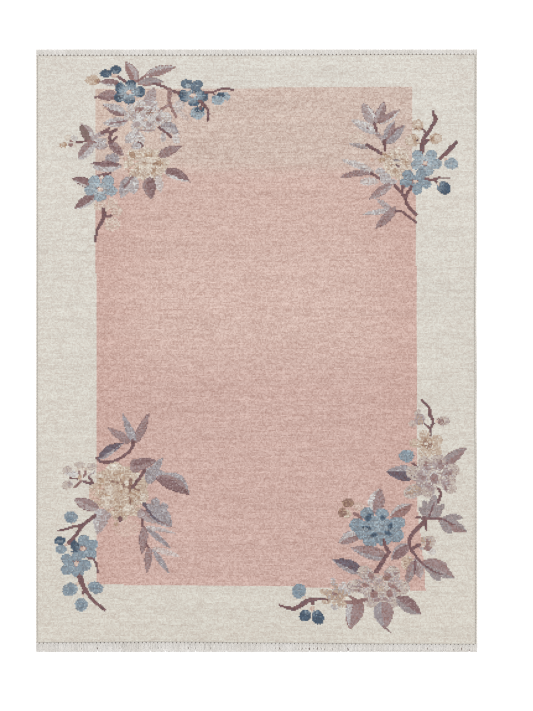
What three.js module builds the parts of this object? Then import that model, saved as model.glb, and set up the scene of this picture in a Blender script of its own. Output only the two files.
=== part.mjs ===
// A hand-knotted Tibetan rug of wool and silk, lying flat: the knotted pile on its foundation,
// an overcast selvedge along each side and a row of warp locks at each end.
// Millimetres. +X is the rug's right side, +Y its top end, +Z up, and the underside lies on z = 0.
import * as THREE from 'three';

// Driving dimensions
const RUG_WIDTH = 1800;
const PILE_LENGTH = 2400;
const RUG_THICKNESS = 11;
const SELVEDGE_HEIGHT = 7;
const SELVEDGE_WIDTH = { left: 6.5, right: 8 };
const STRIP_WIDTH = 4;
const STRIP_HEIGHT = 4;
const LOCKS_PER_END = 116;
const ROOT_WIDTH = 8;
const PIECE_GAP = 0.3;

// Number of straight stretches that each long run is made of
const STEPS_ACROSS = 16;
const STEPS_ALONG = 16;

// How far each edge strays outward from its straight line. The column "at" runs from -1 to 1:
// from the left side to the right on the two ends, from the bottom end to the top on the two sides.
const EDGES = {
  left: [
    { at: -1, out: 1 },
    { at: 1, out: 0 },
  ],
  right: [
    { at: -1, out: 2 },
    { at: -0.35, out: 1 },
    { at: -0.2, out: -2 },
    { at: -0.1, out: 1 },
    { at: 0.1, out: -2 },
    { at: 0.4, out: 0 },
    { at: 1, out: 1 },
  ],
  top: [
    { at: -1, out: -2 },
    { at: 0, out: -1 },
    { at: 1, out: 3 },
  ],
  bottom: [
    { at: -1, out: -2 },
    { at: -0.45, out: -5 },
    { at: 0.1, out: -1 },
    { at: 0.6, out: 3 },
    { at: 1, out: 4 },
  ],
};

// Cross-section of the pile's rim, from the underside to the pile's tips
const RIM = [
  { height: 0, inset: 1.5 },
  { height: 2.5, inset: 0 },
  { height: 8, inset: 0.6 },
  { height: RUG_THICKNESS, inset: 4 },
];

// Cross-section of a selvedge as shares of its width, measured in from the outer edge, and of its height
const SELVEDGE_SECTION = [
  { across: 0.12, up: 0 },
  { across: 1.0, up: 0 },
  { across: 1.0, up: 0.6 },
  { across: 0.7, up: 1.0 },
  { across: 0.3, up: 0.95 },
  { across: 0.0, up: 0.5 },
];

// A lock past its root: shares of the way to its tip, and its width and height there
const LOCK_SECTIONS = [
  { along: 0.45, width: 13.2, height: 6, crown: 0.45 },
  { along: 1.0, width: 10.4, height: 3.2, crown: 0.5 },
];

// Each end's row of locks: how far the tips reach past the pile's straight end line, how much further
// at the right side than at the middle, how far the tips near the rug's sides lean towards them,
// how far the tips of neighbours sway together in pairs, and how uneven the tips' line is
const FRINGES = {
  top: { reach: 25, slope: 1, lean: 1.5, sway: 0.5, uneven: 1 },
  bottom: { reach: 38.5, slope: 0, lean: 7, sway: 1.5, uneven: 1.3 },
};

const MATERIALS = {
  pile: new THREE.MeshStandardMaterial({ color: 0xd0b2a9, roughness: 0.9, metalness: 0 }),
  selvedge: new THREE.MeshStandardMaterial({ color: 0xd3cec5, roughness: 0.85, metalness: 0 }),
  fringe: new THREE.MeshStandardMaterial({ color: 0xdbd7d2, roughness: 0.8, metalness: 0 }),
};

// Distance that an edge strays outward at a place from -1 to 1 along it, eased between the rows
function stray(edge, at) {
  const rows = EDGES[edge];
  const next = Math.max(1, rows.findIndex((row) => row.at >= at - 1e-9));
  const from = rows[next - 1];
  const to = rows[next];
  const share = THREE.MathUtils.smoothstep(at, from.at, to.at);
  return THREE.MathUtils.lerp(from.out, to.out, share);
}

function leftX(v) {
  return -RUG_WIDTH / 2 - stray('left', v);
}

function rightX(v) {
  return RUG_WIDTH / 2 + stray('right', v);
}

function topY(u) {
  return PILE_LENGTH / 2 + stray('top', u);
}

function bottomY(u) {
  return -PILE_LENGTH / 2 - stray('bottom', u);
}

// The same stray at a place on the straight chords between the pile slab's columns
function chordStray(end, u) {
  const place = THREE.MathUtils.mapLinear(u, -1, 1, 0, STEPS_ACROSS);
  const column = THREE.MathUtils.clamp(Math.floor(place), 0, STEPS_ACROSS - 1);
  const atColumn = (i) => stray(end, THREE.MathUtils.mapLinear(i, 0, STEPS_ACROSS, -1, 1));
  return THREE.MathUtils.lerp(atColumn(column), atColumn(column + 1), place - column);
}

// Adds the face a, b, c, d, in anticlockwise order from outside, as two triangles
function addFace(skin, a, b, c, d) {
  skin.push(a, b, c, a, c, d);
}

// Adds the faces between two rings of points, all but the one numbered skipped
function addBand(skin, from, to, skipped = -1) {
  from.forEach((point, i) => {
    const next = (i + 1) % from.length;
    if (i !== skipped) addFace(skin, point, from[next], to[next], to[i]);
  });
}

// Adds a ring's own flat face, fanned out from its first point
function addCap(skin, ring) {
  for (let i = 1; i < ring.length - 1; i += 1) skin.push(ring[0], ring[i], ring[i + 1]);
}

function meshOf(name, geometry, material) {
  const mesh = new THREE.Mesh(geometry, material);
  mesh.name = name;
  return mesh;
}

// The knotted pile and its foundation: one slab with the uneven outline and a rounded rim
function pileSlab() {
  const geometry = new THREE.BoxGeometry(2, 2, 1, STEPS_ACROSS, STEPS_ALONG, RIM.length - 1);
  const corners = geometry.attributes.position;
  for (let i = 0; i < corners.count; i += 1) {
    const u = corners.getX(i);
    const v = corners.getY(i);
    const rim = RIM[Math.round((corners.getZ(i) + 0.5) * (RIM.length - 1))];
    const left = leftX(v) + SELVEDGE_WIDTH.left + PIECE_GAP + rim.inset;
    const right = rightX(v) - SELVEDGE_WIDTH.right - PIECE_GAP - rim.inset;
    const bottom = bottomY(u) + rim.inset;
    const top = topY(u) - rim.inset;
    const x = THREE.MathUtils.mapLinear(u, -1, 1, left, right);
    const y = THREE.MathUtils.mapLinear(v, -1, 1, bottom, top);
    corners.setXYZ(i, x, y, rim.height);
  }
  geometry.computeVertexNormals();
  return meshOf('rug', geometry, MATERIALS.pile);
}

// The overcast cord along one side, flat underneath, following that side's edge
function selvedge(side) {
  const outward = side === 'left' ? -1 : 1;
  const edgeX = side === 'left' ? leftX : rightX;
  const width = SELVEDGE_WIDTH[side];
  const section = side === 'left' ? [...SELVEDGE_SECTION].reverse() : SELVEDGE_SECTION;
  const rings = [];
  for (let step = 0; step <= STEPS_ALONG; step += 1) {
    const v = THREE.MathUtils.mapLinear(step, 0, STEPS_ALONG, -1, 1);
    const y = THREE.MathUtils.mapLinear(v, -1, 1, bottomY(outward), topY(outward));
    rings.push(section.map(({ across, up }) => {
      return new THREE.Vector3(edgeX(v) - outward * across * width, y, up * SELVEDGE_HEIGHT);
    }));
  }
  const skin = [];
  addCap(skin, [...rings[0]].reverse());
  rings.slice(1).forEach((ring, i) => addBand(skin, rings[i], ring));
  addCap(skin, rings[STEPS_ALONG]);
  const geometry = new THREE.BufferGeometry().setFromPoints(skin);
  geometry.computeVertexNormals();
  return meshOf(`selvedge_${side}`, geometry, MATERIALS.selvedge);
}

// Cross-section of a root strip at x, from its inner foot round to its inner top
function stripRing(x, edgeY) {
  const inner = edgeY + PIECE_GAP;
  const outer = inner + STRIP_WIDTH;
  return [
    new THREE.Vector3(x, inner, 0),
    new THREE.Vector3(x, outer, 0),
    new THREE.Vector3(x, outer, STRIP_HEIGHT),
    new THREE.Vector3(x, inner, STRIP_HEIGHT),
  ];
}

// Cross-section of a lock, flat on the floor, in the order of its root's ring
function lockRing(centre, { width, height, crown }) {
  const half = width / 2;
  return [
    new THREE.Vector3(centre.x + half, centre.y, 0),
    new THREE.Vector3(centre.x - half, centre.y, 0),
    new THREE.Vector3(centre.x - half * crown, centre.y, height),
    new THREE.Vector3(centre.x + half * crown, centre.y, height),
  ];
}

// One end's row of warp locks on the strip that holds their roots, made with its tips towards +Y.
// The bottom end's row is the same thing turned half way round.
function fringe(end) {
  const { reach, slope, lean, sway, uneven } = FRINGES[end];
  const turned = end === 'bottom' ? -1 : 1;
  const startX = turned > 0 ? leftX(1) : -rightX(-1);
  const endX = turned > 0 ? rightX(1) : -leftX(-1);
  const pitch = (endX - startX) / LOCKS_PER_END;
  const lineY = (u) => PILE_LENGTH / 2 + chordStray(end, turned * u);
  const uAt = (x) => THREE.MathUtils.mapLinear(x, startX, endX, -1, 1);
  const skin = [];
  let last = stripRing(startX, lineY(-1));
  addCap(skin, [...last].reverse());
  for (let i = 0; i < LOCKS_PER_END; i += 1) {
    const x = startX + (i + 0.5) * pitch;
    const u = uAt(x);
    const left = stripRing(x - ROOT_WIDTH / 2, lineY(uAt(x - ROOT_WIDTH / 2)));
    const right = stripRing(x + ROOT_WIDTH / 2, lineY(uAt(x + ROOT_WIDTH / 2)));
    addBand(skin, last, left);
    addBand(skin, left, right, 1);
    const pairing = i % 2 === 0 ? 1 : -1;
    const tipX = x + lean * u ** 3 * (1 - u ** 12) + sway * pairing;
    const tipY = PILE_LENGTH / 2 + reach + slope * turned * u + uneven * Math.sin(2.4 * i);
    const rootY = (left[1].y + right[1].y) / 2;
    let ring = [right[1], left[1], left[2], right[2]];
    LOCK_SECTIONS.forEach((section) => {
      const centre = {
        x: THREE.MathUtils.lerp(x, tipX, section.along ** 2),
        y: THREE.MathUtils.lerp(rootY, tipY, section.along),
      };
      const next = lockRing(centre, section);
      addBand(skin, ring, next);
      ring = next;
    });
    addCap(skin, ring);
    last = right;
  }
  const finish = stripRing(endX, lineY(1));
  addBand(skin, last, finish);
  addCap(skin, finish);
  const geometry = new THREE.BufferGeometry().setFromPoints(skin);
  geometry.computeVertexNormals();
  const mesh = meshOf(`fringe_${end}`, geometry, MATERIALS.fringe);
  mesh.rotation.z = turned < 0 ? Math.PI : 0;
  return mesh;
}

const rug = new THREE.Group();
rug.add(pileSlab(), selvedge('left'), selvedge('right'), fringe('top'), fringe('bottom'));

// The origin is the middle of the underside of the rug's box
const box = new THREE.Box3().setFromObject(rug);
const middle = box.getCenter(new THREE.Vector3());
rug.position.set(-middle.x, -middle.y, -box.min.z);

export default rug;
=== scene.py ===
import math

import bmesh
import bpy
import numpy as np
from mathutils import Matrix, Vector


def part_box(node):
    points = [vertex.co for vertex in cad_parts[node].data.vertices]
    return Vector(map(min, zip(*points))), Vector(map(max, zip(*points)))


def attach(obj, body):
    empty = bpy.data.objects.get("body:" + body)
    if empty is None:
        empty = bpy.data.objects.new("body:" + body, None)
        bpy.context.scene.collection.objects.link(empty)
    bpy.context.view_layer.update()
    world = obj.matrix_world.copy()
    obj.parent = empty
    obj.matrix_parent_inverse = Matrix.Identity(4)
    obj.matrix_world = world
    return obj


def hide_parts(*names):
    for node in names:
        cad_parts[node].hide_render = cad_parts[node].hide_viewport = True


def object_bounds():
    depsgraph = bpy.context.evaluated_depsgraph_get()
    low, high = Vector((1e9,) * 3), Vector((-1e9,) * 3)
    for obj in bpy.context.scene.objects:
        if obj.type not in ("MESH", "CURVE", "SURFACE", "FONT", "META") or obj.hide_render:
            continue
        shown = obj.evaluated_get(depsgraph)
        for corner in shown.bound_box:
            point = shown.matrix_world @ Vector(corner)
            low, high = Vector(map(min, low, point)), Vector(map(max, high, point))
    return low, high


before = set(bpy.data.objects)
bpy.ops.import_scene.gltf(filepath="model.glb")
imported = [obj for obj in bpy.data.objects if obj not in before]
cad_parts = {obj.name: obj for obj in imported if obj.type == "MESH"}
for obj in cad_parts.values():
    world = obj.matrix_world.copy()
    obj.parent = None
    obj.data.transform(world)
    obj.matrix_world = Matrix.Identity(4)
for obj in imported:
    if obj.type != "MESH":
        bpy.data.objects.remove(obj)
cad_low, cad_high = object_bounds()

MM = 0.001

# Where the rug's box lies in the photograph's 533 by 711 frame, in pixels, y counted downward
PHOTO_WIDTH, PHOTO_HEIGHT = 533, 711
BOX_LEFT, BOX_RIGHT, BOX_TOP = 35.7, 477.4, 48.6
PIXEL = (cad_high[0] - cad_low[0]) / (BOX_RIGHT - BOX_LEFT)

# The knot lattice: counts across and along, and the blocks that stay whole where one yarn fills them
KNOTS_ACROSS, KNOTS_ALONG, BLOCK = 352, 472, 8
BACK_STEP = 2

# Cross-section of the pile's rim from its tips down to the underside
TOP_INSET = 4 * MM
RIM = [
    {"height": 11.0, "inset": 4.0},
    {"height": 10.7, "inset": 2.5},
    {"height": 9.8, "inset": 1.2},
    {"height": 8.0, "inset": 0.6},
    {"height": 5.0, "inset": 0.2},
    {"height": 2.5, "inset": 0.0},
    {"height": 0.7, "inset": 0.4},
    {"height": 0.0, "inset": 1.5},
]

# Light: the sky, the sun and how bright a white sheet on the floor comes out under both
SKY_STRENGTH = 0.78
SUN_STRENGTH = 1.1
SUN_ANGLE = 34
SUN_FROM = (-0.55, 0.6, 1.25)
LIGHT_ON_RUG = 1.07

# The dyes as they look on the rug, 0 to 255
DYES = {
    "ivory": (214, 204, 192),
    "camel": (168, 136, 112),
    "rose": (204, 170, 156),
    "plum": (122, 88, 90),
    "ink": (86, 74, 88),
    "pearl": (200, 194, 191),
    "navy": (68, 86, 105),
    "sky": (166, 177, 183),
}

# Each yarn: a dye, the dye blended into it and that one's share, and the yarn that flecks it
YARNS = {
    "milk": ("ivory", "camel", 0.0, "cream"),
    "cream": ("ivory", "camel", 0.2, "milk"),
    "sand": ("ivory", "camel", 0.5, "cream"),
    "tan": ("ivory", "camel", 0.9, "sand"),
    "olive": ("camel", "ink", 0.2, "tan"),
    "brown": ("camel", "plum", 0.5, "tan"),
    "taupe": ("camel", "pearl", 0.3, "lilac"),
    "olive_grey": ("camel", "ink", 0.5, "dusk"),
    "blush": ("rose", "ivory", 0.2, "sand"),
    "peach": ("rose", "ivory", 0.4, "cream"),
    "heart": ("rose", "ivory", 0.5, "peach"),
    "shell": ("camel", "pearl", 0.7, "light_mauve"),
    "plum": ("plum", "ink", 0.0, "dark_plum"),
    "dark_plum": ("plum", "ink", 0.4, "plum"),
    "dusk": ("plum", "pearl", 0.15, "mauve"),
    "rosy": ("plum", "rose", 0.2, "rosewood"),
    "rosewood": ("plum", "rose", 0.35, "mauve"),
    "mauve": ("plum", "pearl", 0.4, "rosewood"),
    "light_mauve": ("plum", "pearl", 0.6, "lilac"),
    "lilac": ("ink", "pearl", 0.8, "pale"),
    "pale": ("plum", "pearl", 1.0, "lilac"),
    "slate": ("ink", "pearl", 0.18, "dark_plum"),
    "grey": ("ink", "pearl", 0.6, "lilac"),
    "warm_grey": ("ink", "ivory", 0.5, "light_mauve"),
    "navy": ("navy", "sky", 0.0, "deep_blue"),
    "deep_blue": ("navy", "sky", 0.25, "blue"),
    "blue": ("navy", "sky", 0.5, "soft_blue"),
    "soft_blue": ("navy", "sky", 0.65, "light_blue"),
    "light_blue": ("navy", "sky", 0.9, "soft_blue"),
    "pale_blue": ("sky", "pearl", 0.3, "light_blue"),
}
FLECK_SHARE = 0.2

# A blossom's petals from tip to heart with their outline, the half sizes of the oval under them, how
# much wider than given its petals are, and where along them they are widest
DEEP_PETAL = ["navy", "navy", "blue", "soft_blue", "light_blue", "pale_blue"]
PETALS = {
    "light_petal": (["light_blue", "light_blue", "pale_blue"], "soft_blue"),
    "mid_petal": (["soft_blue"], "blue"),
}
BLOSSOM_BASE = (7.4, 6.6)
BLOSSOM_WIDTH = 1.06
BLOSSOM_FULL = 0.64

# The stipple where one shade, one half of a leaf or an oval meets the next
SHADE_STIPPLE, HALF_STIPPLE, OVAL_STIPPLE = 1.2, 0.9, 0.5

# How sharp a leaf's and a petal's tip is, and the outline's width in pixels and share of knots tied
LEAF_TIP, PETAL_TIP = 0.85, 0.5
LEAF_EDGE = {"width": 1.0, "share": 0.7}
PETAL_EDGE = {"width": 0.9, "share": 0.6}

# How far a petal's shades ripple, how closely, and two blooms' own proportions
RIPPLE, RIPPLE_PACE = 0.09, 2.4
MAUVE_BLOOM_WIDTH, PEONY_MARK = 1.1, 0.75

rng = np.random.default_rng(7)


def linear(colour):
    """An 0 to 255 display colour as linear light."""
    c = np.asarray(colour, float) / 255
    return np.where(c <= 0.04045, c / 12.92, ((c + 0.055) / 1.055) ** 2.4)


def dyed(colour):
    """The base colour, with alpha, that shows as this display colour under the scene's light."""
    return (*(linear(colour) / LIGHT_ON_RUG), 1)


def yarn_colour(yarn):
    """A yarn's linear colour, blended of its two dyes."""
    dye, other, share, _ = YARNS[yarn]
    return linear(np.array(DYES[dye]) * (1 - share) + np.array(DYES[other]) * share)


def place(px, py):
    """The spot on the floor that a pixel of the photograph shows."""
    return cad_low[0] + (px - BOX_LEFT) * PIXEL, cad_high[1] - (py - BOX_TOP) * PIXEL


# Meshes


def add_mesh(name, corners, faces, materials, face_materials=None, smooth=True):
    mesh = bpy.data.meshes.new(name)
    mesh.from_pydata(np.asarray(corners).tolist(), [], faces)
    for material in materials:
        mesh.materials.append(material)
    if face_materials is not None:
        mesh.polygons.foreach_set("material_index", np.asarray(face_materials, np.int32))
    mesh.polygons.foreach_set("use_smooth", np.full(len(mesh.polygons), smooth))
    piece = bpy.data.objects.new(name, mesh)
    bpy.context.scene.collection.objects.link(piece)
    return piece


def add_layer(piece, name, kind, values):
    layer = piece.data.attributes.new(name, kind, "FACE")
    key = "color" if kind == "FLOAT_COLOR" else "value"
    layer.data.foreach_set(key, np.asarray(values, np.float32).ravel())


def add_uv(piece, name, corners):
    layer = piece.data.uv_layers.new(name=name)
    layer.data.foreach_set("uv", np.asarray(corners, np.float32).ravel())


def tube_faces(count, rings, sides):
    """Faces of many closed tubes whose corners are numbered tube by tube, ring by ring."""
    ring, side = np.meshgrid(np.arange(rings - 1), np.arange(sides), indexing="ij")
    here = ring * sides + side
    beside = ring * sides + (side + 1) % sides
    quads = np.stack([here, beside, beside + sides, here + sides], -1).reshape(-1, 4)
    ends = [list(range(sides))[::-1], list(range((rings - 1) * sides, rings * sides))]
    faces = []
    for tube in range(count):
        start = tube * rings * sides
        faces += (quads + start).tolist()
        faces += [[start + corner for corner in end] for end in ends]
    return faces


def tubes(paths, radii, sides, flatness=1.0):
    """Corners of tubes around paths (tube, ring, xyz) with radii (tube, ring), each ring upright."""
    along = np.gradient(paths, axis=1)
    along /= np.linalg.norm(along, axis=-1, keepdims=True)
    across = np.cross(along, np.array([0.0, 0.0, 1.0]))
    across /= np.maximum(np.linalg.norm(across, axis=-1, keepdims=True), 1e-9)
    upward = np.cross(across, along)
    turn = np.arange(sides) * 2 * math.pi / sides
    ring = (
        across[:, :, None] * np.cos(turn)[None, None, :, None]
        + upward[:, :, None] * np.sin(turn)[None, None, :, None] * flatness
    )
    return (paths[:, :, None] + ring * radii[:, :, None, None]).reshape(-1, 3)


def face_outwards(mesh):
    """Turns the faces of each closed tube outwards."""
    work = bmesh.new()
    work.from_mesh(mesh)
    bmesh.ops.recalc_face_normals(work, faces=work.faces)
    work.to_mesh(mesh)
    work.free()


class Parts:
    """Corners, faces, shades and materials of the meshes that make up one piece."""

    def __init__(self):
        self.corners, self.faces, self.shades, self.materials = [], [], [], []
        self.count = 0

    def add(self, corners, faces, shades, material=0):
        self.corners.append(corners)
        self.faces += [[corner + self.count for corner in face] for face in faces]
        self.shades.append(np.broadcast_to(shades, len(faces)))
        self.materials += [material] * len(faces)
        self.count += len(corners)

    def piece(self, name, materials):
        piece = add_mesh(name, np.concatenate(self.corners), self.faces, materials, self.materials)
        face_outwards(piece.data)
        add_layer(piece, "shade", "FLOAT", np.concatenate(self.shades))
        return piece


# The knot chart


class Chart:
    """The rug's knots, each with the yarn that it is tied in and how far that yarn covers the ground."""

    def __init__(self, across, down):
        self.across, self.down = across, down
        self.yarn = np.zeros(across.shape + (4,))
        self.grain = rng.random(across.shape)
        self.fleck = rng.random(across.shape)
        self.skip = rng.random(across.shape)

    def tie(self, where, yarn, cover=1.0, odd=0.0):
        """Ties the knots in yarn with its flecks, and leaves out the odd one."""
        where = where & (self.skip >= odd)
        self.yarn[where, :3] = yarn_colour(yarn)
        self.yarn[where & (self.fleck < FLECK_SHARE), :3] = yarn_colour(YARNS[yarn][-1])
        self.yarn[where, 3] = cover

    def shaded(self, where, depth, yarns, cover=1.0, odd=0.0):
        """Ties the knots in the first yarn at depth 0 and in the last at depth 1, stippled between."""
        step = depth * len(yarns) + SHADE_STIPPLE * (self.grain - 0.5)
        step = np.clip(step, 0, len(yarns) - 0.01).astype(int)
        for number, yarn in enumerate(yarns):
            self.tie(where & (step == number), yarn, cover, odd)

    def local(self, start, end):
        """Every knot's place along the line from start to end, 0 to 1, and pixels to its left."""
        dx, dy = end[0] - start[0], end[1] - start[1]
        length = math.hypot(dx, dy)
        x, y = self.across - start[0], self.down - start[1]
        return (x * dx + y * dy) / length**2, (x * dy - y * dx) / length, length

    def blade(self, along, width, full, sharp):
        """Half the width of a leaf or petal, widest at full. A low sharp makes its tip round."""
        s = np.clip(along, 0, 1)
        blunt = sharp * full / (1 - full)
        return width / 2 * s**blunt * (1 - s) ** sharp / (full**blunt * (1 - full) ** sharp)

    def twig(self, points, width, end_width=None, tone="plum"):
        """A twig through points, from one width to another."""
        end_width = end_width or width
        spans = [math.dist(a, b) for a, b in zip(points, points[1:])]
        done = 0.0
        for start, end, span in zip(points, points[1:], spans):
            along = np.clip(self.local(start, end)[0], 0, 1)
            gap = np.hypot(
                self.across - start[0] - along * (end[0] - start[0]),
                self.down - start[1] - along * (end[1] - start[1]),
            )
            share = (done + along * span) / sum(spans)
            self.tie(gap < (width + (end_width - width) * share) / 2, tone)
            done += span

    def leaf(self, base, tip, width, left, right, middle=0.0, bend=0.0, full=0.42, edge=None, cover=1.0):
        """A pointed leaf with a left and a right half. middle moves the line between them to the
        left as a share of the half width, and bend bows the leaf to the left as a share of its length."""
        along, aside, length = self.local(base, tip)
        aside = aside - bend * length * 4 * along * (1 - along)
        half = self.blade(along, width, full, LEAF_TIP)
        inside = (along > 0) & (along < 1) & (np.abs(aside) < np.maximum(half, 0.5))
        line = middle * half + HALF_STIPPLE * (self.grain - 0.5)
        self.tie(inside & (aside >= line), left, cover)
        self.tie(inside & (aside < line), right, cover)
        if edge:
            rimmed = np.abs(aside) > half - LEAF_EDGE["width"]
            self.tie(inside & rimmed & (self.grain < LEAF_EDGE["share"]), edge)

    def ray(self, base, tip, width, yarns, full=0.62, rim=None, cover=1.0, odd=0.0):
        """A round-ended petal from a flower's heart at base, shaded from the first yarn at its tip."""
        along, aside, length = self.local(base, tip)
        half = self.blade(along, width, full, PETAL_TIP)
        inside = (along > 0) & (along < 1) & (np.abs(aside) < half)
        self.shaded(inside, 1 - along + RIPPLE * np.sin(RIPPLE_PACE * aside), yarns, cover, odd)
        if rim:
            rimmed = (np.abs(aside) > half - PETAL_EDGE["width"]) | (along > 1 - PETAL_EDGE["width"] / length)
            self.tie(inside & rimmed & (self.grain < PETAL_EDGE["share"]), rim)

    def petal(self, centre, size, yarn, turn=0, cover=1.0, odd=0.0):
        """An oval petal, berry or mark, turned anticlockwise in degrees."""
        c, s = math.cos(math.radians(turn)), math.sin(math.radians(turn))
        x, y = self.across - centre[0], self.down - centre[1]
        out = np.hypot((x * c - y * s) / size[0], (x * s + y * c) / size[1])
        self.tie(out < 1 + OVAL_STIPPLE * (self.grain - 0.5) / min(size), yarn, cover, odd)

    def marks(self, *rows):
        """Ovals, each given by its centre, half sizes, turn and yarn."""
        for centre, size, turn, yarn in rows:
            self.petal(centre, size, yarn, turn)

    def rays(self, heart, yarns, full, *petals):
        """Round-ended petals from one heart, each given by its tip and width."""
        for tip, width in petals:
            self.ray(heart, tip, width, yarns, full)

    def heart(self, centre, size):
        self.petal(centre, (size[0] + 1, size[1] + 1), "rosewood", odd=0.5)
        self.petal(centre, size, "heart")

    def blossom(self, heart, kind, petals, size=(2.4, 2.1)):
        """Petals, each given by its tip and width, around a small heart."""
        yarns, rim = PETALS[kind]
        self.petal(heart, BLOSSOM_BASE, yarns[0])
        for tip, width in petals:
            self.ray(heart, tip, BLOSSOM_WIDTH * width, yarns, BLOSSOM_FULL, rim)
        self.heart(heart, size)


# The four sprays. Every point is a pixel of the photograph, and a later motif covers an earlier one.


# The top left spray


def top_buds(chart):
    """The blue buds and the tan bud at the top."""
    twig, petal = chart.twig, chart.petal
    petal((92.8, 80.4), (7.6, 5), "sand")
    petal((97, 81.2), (3, 2.5), "tan")
    petal((98.6, 81.6), (1.6, 1.6), "brown")
    twig([(99.8, 82), (104, 82)], 2)
    twig([(117.8, 76.7), (126.6, 82.5)], 3)
    petal((105.9, 73.7), (5.8, 4.3), "navy")
    petal((109.2, 74.8), (2.4, 2), "blue", odd=0.3)
    petal((115.7, 69.7), (5.9, 4.2), "navy")
    petal((115, 72), (3, 1.6), "blue", odd=0.3)
    petal((114.4, 75.8), (3.2, 1.9), "peach")


def top_leaves(chart):
    """Leaves along the top."""
    twig, leaf = chart.twig, chart.leaf
    leaf((120.6, 83.2), (100.4, 81.8), 7.4, "lilac", "dusk", 0.45, full=0.5)
    leaf((136.6, 81.8), (125.4, 61.8), 11.4, "rosewood", "light_mauve", 0.1, -0.04, 0.45, "rosewood")
    leaf((144.8, 75.8), (175.4, 66.9), 9.8, "lilac", "mauve", 0.15, 0.03, full=0.46, edge="rosewood")
    leaf((136.8, 83.8), (164, 81.8), 8.6, "warm_grey", "rosewood", -0.4, 0.05, full=0.48)
    twig([(136.6, 81.6), (144.6, 76.4)], 2.4, tone="rosy")
    twig([(154, 83.6), (165, 87.1), (173, 91.2), (181.5, 94)], 2.9)
    leaf((116.6, 94), (96.6, 97), 11, "dusk", "mauve", 0.25, full=0.36)
    twig([(99.6, 96.5), (94.4, 97.8)], 1.6)


def deep_blue_blossoms(chart):
    """The two deep blue blossoms."""
    leaf, petal, ray = chart.leaf, chart.petal, chart.ray
    leaf((147, 105.4), (154.6, 87.4), 11, "light_mauve", "light_mauve", full=0.4)
    petal((121, 84.6), (3, 2.6), "blue")
    petal((129.2, 92.4), (6.6, 5.6), "soft_blue")
    chart.rays(
        (129.2, 92.3), DEEP_PETAL, 0.66, ((132.2, 80), 11), ((145.2, 91.8), 11), ((130.2, 104.6), 11.4),
        ((114.6, 99.4), 10.4), ((115.4, 86), 10.6),
    )
    chart.heart((129.1, 92.3), (2.3, 1.8))
    petal((187, 84), (6.5, 4.8), "deep_blue")
    petal((188, 86), (3.6, 2.2), "light_blue", odd=0.2)
    petal((198, 84.4), (5.4, 4.2), "deep_blue")
    petal((197, 86.2), (2.8, 2), "light_blue", odd=0.2)
    petal((193, 95.4), (8, 5.6), "soft_blue")
    ray((193, 95.6), (197.4, 86.4), 12.6, ["deep_blue", "deep_blue", "pale_blue"], full=0.7)
    chart.rays(
        (193, 95.6), DEEP_PETAL, 0.68, ((179, 96.6), 13), ((208.2, 96.6), 11), ((195, 106.4), 12.4),
    )
    chart.heart((192.8, 95.5), (2.8, 1.8))


def right_twig(chart):
    """The right twig with its buds."""
    twig, petal = chart.twig, chart.petal
    twig([(205.5, 92.2), (213, 92.4), (217, 90.4), (221, 89), (225, 88.4), (229, 89), (233, 90.2)], 3, 2.2)
    twig([(212.6, 92.6), (216, 96)], 2.4)
    petal((218, 99.8), (6.5, 5.4), "light_blue")
    petal((226, 96.5), (4.5, 4), "light_blue")
    petal((221, 94.8), (4.2, 2.6), "navy", odd=0.1)
    petal((213.6, 97.4), (1.8, 1.4), "blue")
    petal((216.8, 109.6), (7, 5), "cream", cover=0.35, odd=0.3)
    petal((197.6, 113.2), (7.5, 6.2), "light_blue")
    petal((199.4, 109.4), (5.4, 3), "navy", odd=0.15)
    twig([(200.2, 101.2), (203.5, 104.3), (207.7, 109.3), (208.8, 114.3), (207.4, 121.4)], 3.2, 2.3)
    twig([(202, 103.6), (200.8, 108.4)], 2.2)


def hanging_twig(chart):
    """The hanging twig and its faint lilac petals."""
    twig, petal = chart.twig, chart.petal
    petal((178, 107.2), (5.6, 8), "lilac", turn=-35, cover=0.7, odd=0.1)
    petal((184.6, 116.4), (6, 2.6), "lilac", turn=-40, cover=0.45, odd=0.15)
    twig([(169.8, 90), (169.6, 99.6), (169.9, 105.4)], 4.2, 3.6, "rosewood")
    twig([(168.4, 104.8), (159.4, 111.4)], 3, tone="rosewood")
    twig([(170, 104.4), (172.4, 110), (176, 117.2)], 3.2, 2.6, "rosewood")


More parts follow.
